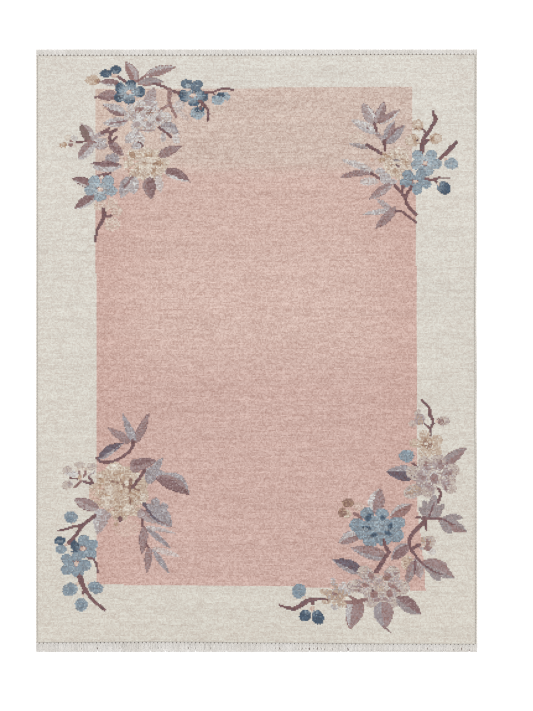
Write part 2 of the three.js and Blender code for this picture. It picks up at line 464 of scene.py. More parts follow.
def grey_white_bloom(chart):
    """The grey-white bloom."""
    twig, leaf, petal = chart.twig, chart.leaf, chart.petal
    leaf((126, 113.8), (103, 104.4), 11, "dusk", "lilac", 0.3, full=0.42)
    leaf((127, 121.4), (103, 123.4), 9.6, "lilac", "lilac", 0, full=0.42)
    petal((104.6, 108.4), (2.4, 1.6), "blush")
    twig([(127.4, 120.6), (118, 122.4), (109.8, 123.8)], 2.4, 1.6, "dusk")
    chart.rays(
        (145.7, 118.4), ["pale", "shell", "pale", "pale"], 0.68, ((127.4, 105.6), 9.4),
        ((138.6, 100.4), 11.6), ((156.8, 101.4), 7.4), ((172, 118), 12.4), ((151, 132), 13.4),
        ((131.6, 129), 9.6), ((123.6, 115.4), 9.4),
    )
    petal((148, 116.6), (17, 11.4), "pale", odd=0.25)
    petal((139, 109.4), (4.5, 2.2), "rosewood", 15, odd=0.15)
    petal((133.5, 115.6), (3, 1.6), "light_mauve")
    petal((136.6, 124.4), (4.5, 2), "light_mauve", 15)
    petal((149, 125), (3, 2), "light_mauve")
    petal((158.5, 118.8), (3, 3), "light_mauve")
    petal((157.6, 119.6), (1.8, 1.8), "rosewood")
    petal((143.5, 115.6), (2, 2), "light_mauve")
    petal((149.8, 113), (3.5, 3), "brown", odd=0.35)
    twig([(149.4, 111), (152, 107.6), (155, 104.6)], 1.8, tone="light_mauve")
    twig([(139.8, 130), (154.8, 130.6)], 1.5, tone="mauve")
    petal((145.7, 120), (1.2, 1.6), "heart")


def petals_below_bloom(chart):
    """Hanging petals, the grey leaf and the lilac bud below."""
    twig, leaf, petal, ray = chart.twig, chart.leaf, chart.petal, chart.ray
    ray((138.6, 131), (125.6, 142.6), 10, ["lilac", "pale", "pale"], full=0.55)
    ray((140.2, 131.6), (140.6, 145), 9, ["pale", "pale", "pale"], full=0.6, cover=0.9)
    twig([(139.4, 130), (134, 137.4)], 1.8, 1.2, "light_mauve")
    petal((163.4, 137), (2.9, 5.4), "lilac", cover=0.9)
    petal((176, 139.4), (3.4, 4.6), "pale", turn=15, cover=0.85)
    leaf((158.4, 127), (179, 134), 11, "grey", "lilac", 0, 0.14, full=0.5)
    twig([(159.2, 127.8), (163.6, 130.6), (171.6, 137.4)], 2.8, 2.4)
    petal((136.6, 146), (5, 4.2), "lilac")
    twig([(138.6, 142), (142.4, 144.6), (141.8, 151)], 1.9, 1.7)


def border_leaves(chart):
    """The left group on the border."""
    twig, leaf, petal = chart.twig, chart.leaf, chart.petal
    petal((67.8, 137.6), (4, 2.9), "cream", cover=0.7)
    petal((74.4, 137.8), (3.4, 2.6), "lilac", cover=0.6)
    petal((63.4, 145.6), (3.6, 3.2), "tan", odd=0.2)
    petal((62.8, 144.6), (2.2, 1.8), "sand")
    petal((70.6, 144.9), (2.5, 2), "rosewood")
    petal((70.8, 140.9), (2, 1.1), "rosewood")
    petal((75.4, 145.2), (1.6, 1.6), "cream", cover=0.6)
    leaf((93.2, 140.6), (80.6, 123.8), 12, "olive_grey", "light_mauve", -0.4, 0.02, full=0.46)
    petal((91.4, 134.6), (1.8, 3), "pale", turn=35)
    twig([(76.2, 142.2), (82.6, 141.8), (87.8, 140.6)], 2.2)
    twig([(87.8, 140.6), (91, 141.2), (95, 142.6)], 2.4, tone="rosy")
    twig([(93, 138), (98.6, 134.8), (103.4, 133.8)], 5, 4.2, "light_mauve")
    twig([(102.6, 132.8), (106, 130.8), (109.2, 128.4)], 4.4, 3)
    twig([(105.4, 131.4), (111.6, 132.8)], 2.6)
    leaf((94.4, 142), (78.2, 159.6), 12.4, "lilac", "mauve", 0, full=0.46)
    petal((101.5, 140.8), (5.9, 2.8), "lilac")
    petal((101.2, 145.8), (6.2, 3.8), "light_mauve")
    petal((101, 144.8), (4.8, 2), "lilac")
    leaf((108.6, 141), (123.4, 155.6), 9.4, "mauve", "dusk", 0, full=0.45)
    twig([(116.4, 129.8), (111.4, 132.2), (109.8, 137.4), (111, 143)], 3.4)
    twig([(116, 137.4), (112.6, 140.8)], 3.2)
    petal((112.4, 158.4), (7.4, 4.8), "grey")
    leaf((121.6, 166.6), (92.6, 167), 11, "lilac", "lilac", full=0.5)
    leaf((121.6, 165), (90.8, 163.4), 5.4, "dusk", "plum", 0, 0, full=0.5)
    petal((106, 162), (5, 1.8), "dusk")


def cream_bloom(chart):
    """The cream bloom."""
    petal = chart.petal
    petal((146, 164), (22, 14), "cream", odd=0.1)
    chart.rays(
        (145.6, 165), ["cream", "sand", "cream", "cream"], 0.62, ((123.6, 165.6), 11), ((128, 151), 13),
        ((146.6, 147), 15), ((160.6, 151.4), 12), ((169.6, 162.6), 13), ((161.6, 178.6), 12),
        ((146, 181), 15), ((130, 177.6), 13),
    )
    petal((145.4, 165), (8, 7), "cream")
    petal((145, 163.4), (4, 2.6), "sand")
    chart.marks(
        ((132, 154.6), (3.6, 3), -40, "tan"), ((148.6, 155), (3.8, 2.6), 0, "tan"),
        ((149, 153.8), (1.7, 1), 0, "sand"), ((158, 163.4), (6, 2), 5, "tan"),
        ((155.4, 163.6), (4, 0.9), 5, "olive"),
        ((160.4, 161.6), (2.4, 1.6), 0, "tan"), ((153.8, 170.6), (1.8, 4), -30, "tan"),
        ((131.4, 167.8), (5, 1.5), 20, "blush"), ((129, 171.4), (1.6, 2.4), 0, "blush"),
        ((135.4, 161.4), (2.4, 1.4), 0, "blush"), ((138.2, 169), (0.8, 2.6), 0, "tan"),
        ((145, 174.4), (4.4, 1), 0, "sand"), ((125.4, 158.4), (2.6, 2.2), 0, "blush"),
        ((162.6, 166.4), (2.8, 1.2), 0, "sand"), ((153.4, 151.4), (1, 2.4), -20, "sand"),
    )


def cream_bloom_leaves(chart):
    """Leaves around the cream bloom."""
    twig, leaf = chart.twig, chart.leaf
    leaf((158.6, 156.6), (182, 146.4), 9.6, "mauve", "mauve", 0.2, 0.04, full=0.4, edge="dusk")
    leaf((164.6, 171), (190.2, 182), 11, "dusk", "pale", -0.5, 0.06, full=0.38)
    leaf((157, 175.4), (161, 192.6), 8.6, "pale", "pale", cover=0.8)
    leaf((149.4, 177), (151.6, 199.4), 13, "dusk", "mauve", -0.3, -0.05, full=0.4)
    leaf((129.8, 176.4), (121, 197.6), 12.4, "lilac", "grey", 0)
    leaf((132.4, 176), (133.8, 194.6), 12.4, "lilac", "lilac", 0)
    twig([(131.8, 177.2), (124.4, 187.8)], 2.8, 2, "dusk")


def edge_blossom(chart):
    """The light blue blossom on the field's edge and the twig below it."""
    twig, leaf, petal = chart.twig, chart.leaf, chart.petal
    petal((104.6, 175), (4.4, 2.4), "plum", turn=12)
    twig([(97.4, 175.8), (104, 174.4), (110.8, 173.2)], 2.8, 2)
    leaf((91.6, 185.8), (71.8, 178.6), 9.8, "pale", "dusk", 0.5, -0.05, full=0.36, edge="plum")
    leaf((94.8, 195.4), (73.8, 209.2), 10.2, "lilac", "dusk", 0.5, full=0.4)
    chart.blossom(
        (100.3, 189.3), "light_petal",
        [((91, 176.6), 11), ((112.6, 177), 11.2), ((117.2, 191.4), 10), ((100.3, 202), 11.8),
         ((84.6, 190.8), 9.8)],
    )
    petal((101.8, 177.6), (1.5, 2.2), "milk")
    for centre, size in (
        ((102.6, 206.4), (8.6, 5.6)), ((111.6, 203.4), (6.6, 5.6)), ((117, 211), (6, 5)),
        ((112, 224), (8, 7)),
    ):
        petal(centre, size, "cream", cover=0.65, odd=0.1)
    petal((95, 206), (1, 2.6), "tan", cover=0.7)
    twig([(103.6, 209.8), (104.2, 216.8), (100.7, 223.7), (96.8, 230.3), (95.4, 241)], 4.6, 2.2)
    twig([(104.4, 216.4), (111, 215.8)], 2.8)


# The top right spray


def leaf_fan(chart):
    """The fan of leaves above the stem."""
    twig, leaf, petal = chart.twig, chart.leaf, chart.petal
    petal((357.8, 137.8), (8.8, 5.8), "cream", cover=0.45, odd=0.1)
    leaf((373.2, 123.6), (362.6, 103), 11.6, "light_mauve", "pale", -0.45, full=0.42, edge="mauve")
    leaf((375.4, 123.6), (384.4, 101.4), 9.4, "light_mauve", "mauve", 0, -0.03, full=0.45, edge="dusk")
    leaf((378.8, 124), (399.8, 109.8), 7.8, "mauve", "pale", -0.4, full=0.45)
    leaf((378.4, 133.6), (351.4, 119.8), 9.6, "lilac", "pale", 0.2, full=0.46)
    petal((367.4, 128.2), (1.2, 1), "dusk")
    twig([(377, 133.4), (383.4, 141)], 4.2, tone="light_mauve")
    twig([(374.2, 123.6), (375, 126), (376.6, 130)], 3, tone="plum")
    leaf((384.6, 140.6), (394.4, 121), 9, "grey", "mauve", full=0.4)
    leaf((386.6, 143.4), (404.4, 125.6), 10.4, "dusk", "grey", 0.45, full=0.42)
    petal((389.6, 135.6), (1.6, 3), "mauve", turn=-40)
    twig([(384.6, 140.6), (384.9, 150.4)], 3.3)
    leaf((368.4, 147.8), (349, 143.8), 4.8, "warm_grey", "lilac", full=0.4)
    twig([(367, 145.2), (375.1, 149.8), (382.4, 154.2)], 3.5)


def cream_buds(chart):
    """The twig with cream buds."""
    twig, petal = chart.twig, chart.petal
    petal((417.8, 125.2), (6, 5.7), "sand")
    petal((417.6, 123.6), (3.8, 3), "cream")
    petal((418.6, 128.1), (3.6, 1.6), "tan")
    petal((416.4, 128.4), (1, 0.9), "brown")
    petal((422, 129.4), (1.2, 1), "brown")
    petal((412.4, 140.4), (7.7, 6.4), "sand")
    petal((409.6, 139.6), (3.8, 4), "cream")
    petal((414.4, 139.4), (2.4, 3.4), "tan", odd=0.35)
    petal((417.5, 140.6), (1.2, 1.1), "dark_plum")
    petal((435.7, 138.8), (6.5, 5.3), "sand")
    petal((437.6, 138.6), (3.4, 3), "cream")
    petal((432.6, 139), (2.8, 2.4), "tan")
    petal((431.6, 139), (1.3, 1.1), "brown")
    twig([(433.4, 111.2), (433.7, 116)], 2.1)
    twig(
        [(434.2, 115.2), (436, 119.4), (434.4, 122.6), (431.6, 126.7), (429.2, 131.3), (425.3, 135.6),
         (422.3, 142), (422, 152)],
        3.7, 4.3,
    )
    twig([(423.6, 129.8), (426.4, 134.6)], 2.4)
    twig([(427.8, 140.2), (422.6, 145.6)], 3.2)
    twig([(456.4, 142.4), (451.2, 147.8)], 3.4, 5)
    twig([(451.8, 147), (445.3, 154), (438.6, 159.6)], 5, 3.2)
    petal((456, 142.8), (1.3, 1.3), "dark_plum")


def edge_cream_bloom(chart):
    """The cream bloom on the field's edge."""
    petal = chart.petal
    petal((399, 152.6), (11, 6), "cream", cover=0.7, odd=0.1)
    petal((397.4, 165.4), (14, 12.6), "cream", odd=0.08)
    chart.rays(
        (397, 165.4), ["cream", "sand", "cream", "cream"], 0.62, ((381, 156), 8), ((393, 150.6), 11),
        ((406.4, 154), 11), ((410, 166.4), 12), ((402, 179.6), 12), ((391, 175.6), 10), ((383, 165.6), 9),
    )
    chart.marks(
        ((385.8, 155.4), (3.8, 1.8), -25, "tan"), ((381.4, 160), (3.4, 2.6), 0, "tan"),
        ((405.6, 162.4), (3.6, 3.2), 0, "sand"), ((406, 162.4), (2, 2), 0, "tan"),
        ((395.2, 170.6), (3.2, 2.8), 0, "sand"), ((395.2, 170.8), (1.8, 1.6), 0, "tan"),
        ((396.4, 160.2), (2.8, 1.5), 0, "warm_grey"), ((398, 166.2), (1.9, 1.3), 0, "dusk"),
        ((397, 165.4), (1.2, 1), 0, "slate"), ((372, 160), (2.4, 2), 0, "blush"),
    )
    petal((379.8, 171), (4.8, 3.4), "lilac")
    petal((385, 178.2), (6.8, 5.6), "lilac", turn=-30)
    petal((392.4, 181.8), (4.4, 3.2), "lilac")


def light_blossoms(chart):
    """The light blue blossoms and the berries."""
    twig, petal, ray = chart.twig, chart.petal, chart.ray
    chart.blossom(
        (425.3, 163.1), "light_petal",
        [((413.4, 151.4), 9.8), ((434.6, 151), 10.8), ((442.2, 164), 9.2), ((430, 175.6), 10.6),
         ((411.2, 165.4), 9.4)],
        (2.2, 1.9),
    )
    chart.blossom(
        (415.3, 181.3), "mid_petal",
        [((403.6, 171.6), 9.6), ((424.6, 170.6), 10.6), ((431.2, 185), 8.8), ((418, 194.4), 10.4),
         ((399.6, 183.4), 9.2)],
        (2.4, 2),
    )
    petal((451.2, 163.6), (7, 5.8), "light_blue")
    petal((451.6, 163.6), (1.4, 1.2), "pale_blue")
    petal((445, 159.2), (2.2, 1.5), "peach")
    ray((437.8, 184), (450, 192), 12.4, ["navy", "navy", "deep_blue", "blue"], full=0.5)
    twig([(425.6, 178.9), (433, 180), (439, 178), (449.4, 178.1)], 2.8, 2)
    twig([(434, 179.6), (437.6, 183)], 3.4, 2)
    petal((438.4, 184), (1.5, 1.5), "peach")


def left_leaves(chart):
    """Leaves on the left."""
    twig, leaf, petal = chart.twig, chart.leaf, chart.petal
    leaf((373.4, 171.8), (341.2, 160), 7, "lilac", "pale", 0.4, -0.03, full=0.4, cover=0.9)
    petal((362.6, 168.6), (3.4, 1.4), "light_blue", turn=-20, cover=0.6)
    petal((369.2, 181.6), (9.2, 4.4), "pale", cover=0.85, odd=0.08)
    leaf((372, 173.9), (340, 177.3), 6.2, "mauve", "mauve", 0.2, -0.06, full=0.5, edge="dusk")
    twig([(371, 173.2), (378.9, 178.2)], 2.9)
    leaf((391.8, 184), (369, 199.2), 9.4, "light_mauve", "mauve", 0, full=0.42, edge="mauve")


def edge_twigs(chart):
    """Twigs running down to the field's edge."""
    twig, leaf = chart.twig, chart.leaf
    twig([(394.4, 185), (400.5, 192), (405.8, 198.2), (406.2, 203), (409, 207), (416.2, 214.2)], 3, 3.6)
    twig([(402.9, 186.6), (401.4, 192.6)], 3.3)
    twig([(411.2, 187), (407, 193.8), (405.6, 199)], 3.3)
    leaf((391.8, 210.4), (375.8, 198.2), 6, "light_mauve", "light_mauve", full=0.36)
    leaf((390, 210.2), (362, 214.5), 5.2, "lilac", "lilac", full=0.4)
    leaf((395.6, 207), (375.2, 228.4), 9.6, "mauve", "mauve", 0, 0.03, full=0.42, edge="dusk")
    twig([(395.6, 211.2), (401.5, 211.2), (408.7, 216.6), (416.2, 222.7)], 2.5)


# The bottom left spray


def curved_stem(chart):
    """The fan of leaves and the curved stem below it."""
    twig, leaf, petal = chart.twig, chart.leaf, chart.petal
    leaf((130.2, 442), (107.2, 427.4), 9, "mauve", "mauve", 0, full=0.3)
    leaf((135.6, 442.6), (149, 413), 9, "mauve", "mauve", 0, full=0.4, edge="dusk")
    leaf((134, 441.4), (122.6, 413.8), 8.4, "grey", "grey", full=0.28)
    twig(
        [(132.7, 440.4), (133.4, 445.7), (129.7, 451.2), (123.2, 456.4), (115.1, 461), (107.1, 462.4),
         (101, 461.8), (96.2, 458)],
        3.2, 3,
    )
    leaf((98.4, 459), (123, 443.2), 9.6, "slate", "grey", -0.3, 0.05, full=0.42)
    petal((117, 448.8), (3.6, 1), "slate", turn=33)


def whitish_blossom(chart):
    """The whitish blossom on the border."""
    twig, petal = chart.twig, chart.petal
    for centre, size, tone in (
        ((72.6, 473.6), (5, 3.6), "pale"), ((83, 470.6), (7, 4.6), "milk"),
        ((79.8, 464.8), (5.7, 3.4), "shell"), ((91.8, 466.2), (5.6, 3.8), "shell"),
        ((67.5, 470.6), (5.2, 4.6), "shell"),
        ((68.6, 473.4), (3.6, 1.8), "pale"), ((67.2, 485.2), (5.2, 4.7), "shell"),
        ((70.4, 483.4), (2.6, 2.2), "light_mauve"),
    ):
        petal(centre, size, tone, cover=0.9)
    twig([(94.8, 471.8), (88.6, 476.2)], 1.8, tone="light_mauve")
    twig([(85.2, 471), (85.6, 473.4), (83.6, 476.6)], 2.3, tone="rosy")
    twig([(79.2, 471.6), (79.8, 476)], 2, tone="rosewood")
    twig([(70.2, 478.5), (78, 478.6)], 2.4)
    twig([(74.9, 486.8), (81, 481)], 2.8, tone="rosy")
    twig([(83.6, 481.2), (95, 485.2)], 2.9)
    twig([(88.6, 476.8), (94, 484)], 2.7)
    petal((79.9, 477.2), (2.3, 2.2), "tan")
    petal((80.4, 479.4), (1.5, 1), "peach")


def big_cream_bloom(chart):
    """The big cream bloom."""
    twig, petal = chart.twig, chart.petal
    petal((126, 527.6), (14, 9), "peach", cover=0.45, odd=0.1)
    chart.rays(
        (121, 491), ["sand", "sand", "cream", "sand"], 0.64, ((112, 462.6), 20), ((97, 473.6), 16),
        ((88.6, 490), 16), ((95, 504), 15), ((132, 466.6), 17), ((147.6, 481), 18), ((149, 497), 16),
        ((138.6, 514.6), 17), ((119.6, 521.4), 19), ((107, 511.6), 14),
    )
    petal((121, 491), (19, 16), "sand")
    chart.marks(
        ((113.6, 467.4), (7, 3.4), 0, "cream"), ((99, 476.6), (4, 3), 20, "cream"),
        ((106.6, 497.6), (6, 4.4), 0, "cream"), ((108, 505.6), (5, 2.6), 0, "cream"),
        ((109.6, 489.6), (4.6, 4), 0, "cream"), ((126.4, 482.6), (3, 2.6), 0, "cream"),
        ((134, 484.4), (2, 3.4), 0, "cream"), ((137.6, 477), (3.4, 4.6), -30, "cream"),
        ((130, 508.4), (6, 3.6), 0, "cream"), ((142.6, 498.6), (4, 5), 0, "cream"),
        ((92.4, 494.6), (3.4, 6), 0, "blush"), ((100.4, 487.4), (4.6, 2), 10, "blush"),
        ((96.6, 499.4), (3.4, 3), 0, "blush"), ((101.6, 480.2), (3.4, 2.2), -20, "tan"),
        ((100, 486), (1.8, 1.8), 0, "tan"), ((117.6, 474.2), (6, 1), 12, "tan"),
        ((123.4, 478), (1.4, 2.6), 15, "tan"), ((105.6, 494.8), (5.6, 0.9), -12, "tan"),
        ((116, 498.8), (0.9, 3), 20, "tan"), ((131.6, 500.6), (0.9, 2.6), 0, "tan"),
        ((120.6, 514), (3.4, 1), 0, "tan"), ((139.4, 505.6), (5, 0.9), 30, "blush"),
        ((137, 491.6), (3, 1), -20, "tan"), ((111, 509.4), (4, 0.9), 35, "blush"),
    )
    twig([(130.8, 479.4), (130.2, 492)], 2.9, tone="brown")
    twig([(124, 486.6), (131, 487.4), (138.6, 490)], 2.2, tone="brown")
    twig([(121, 480.6), (124.4, 486)], 2.6, tone="brown")
    twig([(110, 481), (117.8, 482.6)], 1.9, tone="brown")
    twig([(131.4, 492.8), (138.4, 497.2)], 2.5, tone="tan")
    twig([(129.6, 497.2), (130.6, 504.2)], 2.2, tone="brown")
    twig([(115.6, 507.1), (121.6, 507.4)], 1.5, tone="tan")
    petal((120.8, 491.6), (3, 2.4), "tan")
    petal((120.3, 518.8), (2.1, 2.9), "plum")
    petal((116.2, 523.8), (1.9, 1.9), "tan")


def big_bloom_leaves(chart):
    """Leaves to the right of the cream bloom."""
    twig, leaf, petal = chart.twig, chart.leaf, chart.petal
    twig([(144.8, 470.4), (141, 476), (133, 487)], 3.5)
    leaf((150, 476), (162.8, 457.4), 8, "grey", "grey", full=0.45)
    petal((151, 475), (6, 8.8), "grey", turn=-12)
    leaf((148, 473.6), (164.4, 472), 8.4, "grey", "grey", full=0.4)
    petal((135.6, 466), (6.1, 6.9), "mauve")
    leaf((133, 466.4), (156.4, 460.4), 12, "dusk", "mauve", -0.1, 0.02, full=0.34, edge="dusk")
    leaf((158.8, 475.4), (189.2, 494.8), 13.4, "grey", "mauve", 0.3, 0.15, full=0.46)
    leaf((156.6, 477.6), (189.4, 494.6), 9.6, "dusk", "dusk", 0, 0.0, full=0.38, edge="plum")


def lobed_leaf(chart):
    """The lobed grey leaf with its dark rib."""
    twig, leaf, petal = chart.twig, chart.leaf, chart.petal
    leaf((137.6, 511.6), (164, 524.2), 10.6, "mauve", "light_mauve", full=0.3)
    petal((141, 514.6), (4, 4.1), "light_mauve")
    leaf((146, 504.4), (171.4, 526.8), 17, "grey", "grey", -0.3, 0.05, full=0.5)
    petal((155.5, 501.9), (4.3, 4.3), "grey")
    petal((164.3, 506.7), (4, 4), "grey")
    petal((144.3, 504.6), (2.3, 2.3), "slate")
    twig([(145, 505.6), (148.6, 511), (152.9, 516.7), (158.6, 520.8)], 2.4, tone="slate")
    twig([(158, 520.6), (165, 524), (171.6, 526.6)], 1.3, tone="dusk")


def hanging_stem(chart):
    """The hanging stem with mauve and grey leaves."""
    twig, leaf = chart.twig, chart.leaf
    leaf((145, 527), (176, 533.6), 4.2, "lilac", "lilac", 0, 0.02, cover=0.85)
    leaf((147, 528.6), (170.8, 548.2), 5.8, "grey", "grey")
    leaf((152.6, 548.2), (179.8, 556), 6, "pale", "pale", cover=0.65)
    leaf((152.4, 549), (169.2, 573.2), 5.8, "grey", "grey", full=0.5)
    twig([(142.2, 519.6), (142.5, 524.9), (144.4, 530)], 2.7)
    leaf((144.4, 526.8), (142, 554.2), 9, "mauve", "mauve", 0, full=0.38, edge="dusk")
    twig([(146.2, 543.8), (149, 549)], 2.4)
    leaf((149.4, 547.6), (146.8, 573.2), 8.2, "mauve", "mauve", 0, full=0.38)


def border_berries(chart):
    """Leaves, twigs and berries on the border."""
    twig, leaf, petal = chart.twig, chart.leaf, chart.petal
    leaf((99.8, 509.8), (73.6, 499), 12, "light_mauve", "mauve", 0, full=0.46, edge="dusk")
    petal((84.4, 506.2), (1.4, 1.1), "dusk")
    leaf((103, 508.6), (97.4, 534.4), 15.4, "light_mauve", "lilac", -0.1, full=0.34)
    petal((106.8, 515.2), (4.6, 3.2), "light_mauve", turn=-15)
    twig([(95, 515.6), (82.4, 525.2), (76, 535.4), (68.8, 543)], 3.6, 3.8)
    twig([(83.4, 525.2), (73.6, 526.4), (66.4, 529), (58.2, 530.8)], 3.4, 1.9)
    petal((71, 517.3), (6.7, 6.1), "soft_blue")
    petal((69.6, 519.6), (3.4, 2.6), "blue")
    petal((73.6, 523.4), (1.4, 1.2), "peach")
    petal((61, 549.3), (5.8, 4.6), "soft_blue")
    petal((60, 540.6), (6.1, 4.2), "navy")
    petal((60, 541.2), (3.8, 1.6), "blue")
    petal((66.2, 544.7), (2.2, 1.8), "peach")
    chart.blossom(
        (83.2, 548.6), "mid_petal",
        [((84.4, 534.8), 11), ((98, 542.6), 9.6), ((96, 557.4), 10.2), ((79.6, 558), 11),
         ((71.4, 545.4), 9.6)],
        (2.5, 2.1),
    )
    petal((74.3, 545), (4.4, 4.6), "navy")
    petal((77.6, 548.4), (2.2, 2.4), "deep_blue")
    petal((74.6, 551.6), (3.2, 1.5), "navy")
    chart.blossom(
        (76.5, 563.3), "mid_petal",
        [((61.6, 556.6), 10), ((77.6, 552), 11.4), ((91.4, 566), 10), ((79, 577.6), 11.2),
         ((61.8, 572.6), 10.6)],
        (2.5, 2.1),
    )
    twig([(88, 557.8), (93.4, 559), (96.8, 564), (97.6, 572.2)], 2.7, 2)
    petal((70, 589.4), (7.7, 6.7), "soft_blue", turn=25)
    petal((95.8, 587.5), (7.7, 6), "soft_blue", turn=-20)
    petal((81.3, 604.8), (6.5, 6.6), "soft_blue")
    for centre, size in (((69, 590.6), (4.4, 3.4)), ((94.6, 587), (4.6, 3)), ((81, 605.6), (3.6, 3.6))):
        petal(centre, size, "blue", odd=0.35)
    twig([(79.6, 576.4), (81.6, 581.6)], 5, 6.4)
    twig([(81.4, 580.4), (83.6, 587), (90.4, 597.1), (97.6, 604), (104.6, 609.8)], 4.7, 3)
    twig([(84, 588), (82.8, 594.6)], 2.8, 1.8)
    for centre in ((77.4, 583.6), (87.6, 582.9), (82.7, 596.2)):
        petal(centre, (1.5, 1.4), "peach")


# The bottom right spray


def tan_blossom(chart):
    """The top twig, its buds and the tan blossom."""
    twig, petal, ray = chart.twig, chart.petal, chart.ray
    petal((417.8, 413.2), (3.4, 3.8), "shell")
    petal((412.9, 423.5), (4.4, 3.4), "shell", cover=0.8)
    petal((419.8, 419.8), (5, 5.9), "light_mauve")
    petal((420.6, 422.6), (2.8, 2.6), "taupe")
    petal((419.6, 418), (2.6, 2.4), "taupe", odd=0.3)
    petal((443.4, 421.1), (6.4, 4.9), "shell")
    petal((440.4, 420.8), (3.4, 3.8), "rosewood", odd=0.35)
    petal((436.8, 421.6), (1.4, 1.4), "peach")
    twig([(422, 400.2), (429.3, 407.8), (430.2, 411.6), (429.5, 415.8)], 2.5, 3.2)
    twig([(429.5, 414.8), (432.4, 418.8), (433.2, 423.4), (430.4, 428), (430.2, 436)], 3.4, 2.4)
    twig([(425.2, 424.4), (429.8, 428.6)], 2.5)
    for tip, width in (
        ((409, 442.8), 9), ((424, 430), 11), ((442, 438), 11), ((441, 454), 11), ((423.4, 458), 13),
    ):
        ray((426.8, 444.4), tip, width, ["sand", "sand", "tan"], full=0.66, cover=0.95, odd=0.06)
    petal((427, 444.6), (5, 3.8), "brown", odd=0.4)
    petal((426.4, 444.2), (2.2, 1.7), "milk")


def mauve_bloom(chart):
    """The mauve and white bloom."""
    twig, leaf, petal, ray = chart.twig, chart.leaf, chart.petal, chart.ray
    petal((406.5, 455.8), (7.6, 6.3), "soft_blue")
    leaf((442.4, 464.4), (466.8, 447.2), 11.4, "warm_grey", "mauve", 0.0, full=0.4, edge="mauve")
    leaf((417, 474.2), (386, 471.6), 15.6, "slate", "grey", -0.2, 0.0, full=0.38)
    twig([(412.6, 463.4), (417.4, 467.2)], 2.6)
    petal((432, 476.6), (17, 13.4), "shell", odd=0.2)
    for base, tip, width in (
        ((427.6, 473.4), (422.4, 456.8), 11.4), ((440, 471), (436.4, 455), 14),
        ((441.6, 475.6), (458.6, 467.4), 13), ((441, 482.4), (455.4, 480.4), 10),
        ((441.4, 484), (456, 490.4), 10), ((428.6, 480.6), (406.4, 469), 13),
        ((431, 484), (403.6, 495), 12.6), ((432.6, 484), (424.6, 496.8), 11.6),
    ):
        width *= MAUVE_BLOOM_WIDTH
        ray(base, tip, width, ["shell", "shell", "light_mauve", "light_mauve"], full=0.62, odd=0.03)
    for centre, size, turn in (
        ((426, 465.6), (2.6, 5), 20), ((441.2, 465.4), (3, 5), 10), ((448.6, 473.6), (4.4, 2.4), 30),
        ((447, 482.6), (4.2, 2.2), 0), ((422, 477.4), (5.4, 2.2), -25), ((430.4, 485.6), (4.4, 3), 20),
        ((445, 487.6), (3, 2), -30),
    ):
        petal(centre, size, "mauve", turn, odd=0.3)
    petal((434, 478), (4.8, 6.2), "pale")
    petal((434, 478.4), (4.2, 5.4), "mauve")
    petal((434, 478), (2, 3), "rosewood", odd=0.2)
    petal((414, 489.6), (7, 3.6), "taupe", turn=15, odd=0.25)


def right_stem(chart):
    """The right stem with lobed grey leaves."""
    twig, leaf, petal = chart.twig, chart.leaf, chart.petal
    twig([(438.6, 489), (441, 493.4), (440, 497), (437.8, 502.6)], 3.1)
    for tip, width in (
        ((423.3, 499.8), 7.4), ((419.2, 507.6), 8), ((435.4, 494.6), 9), ((444.6, 504.4), 8),
        ((441.8, 512), 8),
    ):
        leaf((429, 516.4), tip, width, "warm_grey", "warm_grey", full=0.56)
    petal((430, 513), (9.4, 4.4), "warm_grey")
    twig([(428.8, 516.4), (431.5, 510), (434.2, 503.4)], 2, 1.8)
    leaf((438.6, 519), (463.2, 517.6), 6.8, "warm_grey", "warm_grey", 0, 0.04, full=0.6)
    leaf((438, 518.6), (467.2, 531.8), 12, "warm_grey", "mauve", 0, 0.0, full=0.45)
    leaf((438.6, 519), (451.4, 533.6), 8, "warm_grey", "warm_grey", full=0.6)
    twig([(416.4, 517.8), (435, 518.2), (443, 519), (448, 522), (454.4, 524.7)], 2.6, 1.7)
    twig([(424.2, 518.6), (424, 523)], 5)
    twig([(425.2, 521), (426.2, 531)], 2.9, 1.4)
    twig([(423.6, 522), (415, 530.4), (410, 537.6), (409, 545)], 4.5, 3.8)


def small_blossom(chart):
    """The small mauve blossom and the stem's lower leaves."""
    twig, leaf, petal = chart.twig, chart.leaf, chart.petal
    petal((431.4, 551.6), (4.2, 3.4), "pale", cover=0.75)
    petal((429.4, 541.4), (6, 6), "shell")
    petal((423.6, 540.4), (3.2, 3), "taupe")
    petal((427.4, 543), (1.9, 5), "rosewood")
    petal((431, 540), (1, 3.6), "taupe", turn=-20)
    petal((427.8, 548.4), (4, 2.2), "rosewood")
    petal((421.6, 548.4), (2.6, 1.5), "light_mauve")
    petal((422.6, 545), (2.5, 1.5), "heart")
    leaf((390.4, 517), (412.4, 503.6), 12, "lilac", "rosewood", 0.35, full=0.45)
    leaf((410, 545), (391.6, 560), 12.6, "dusk", "grey", -0.55, -0.06, full=0.46)
    petal((407, 562.4), (6.2, 7.6), "sand", cover=0.9)
    petal((408.6, 563.4), (4.4, 6), "taupe", odd=0.4)
    leaf((415.6, 556.6), (420.6, 579.4), 10.6, "light_mauve", "mauve", full=0.45)
    leaf((414.6, 560), (406.6, 584), 9, "warm_grey", "mauve", full=0.45)
    leaf((421.6, 561.6), (454.4, 578), 15, "mauve", "warm_grey", -0.1, 0.02, full=0.42)
    leaf((423, 561.6), (447.6, 565.4), 8, "mauve", "mauve", 0, 0.03, full=0.55)
    leaf((425, 564.6), (440.6, 580.8), 8, "warm_grey", "warm_grey", full=0.6)
    twig(
        [(409.4, 543), (410.5, 549), (415, 555), (421, 562.5), (428, 567.6), (435, 572.1), (443.6, 574.6)],
        3.4, 1.4,
    )
    twig([(412.4, 548.8), (419, 544.6)], 3.5)
    twig([(415, 561), (414.4, 573.6)], 2.1, 1.8)


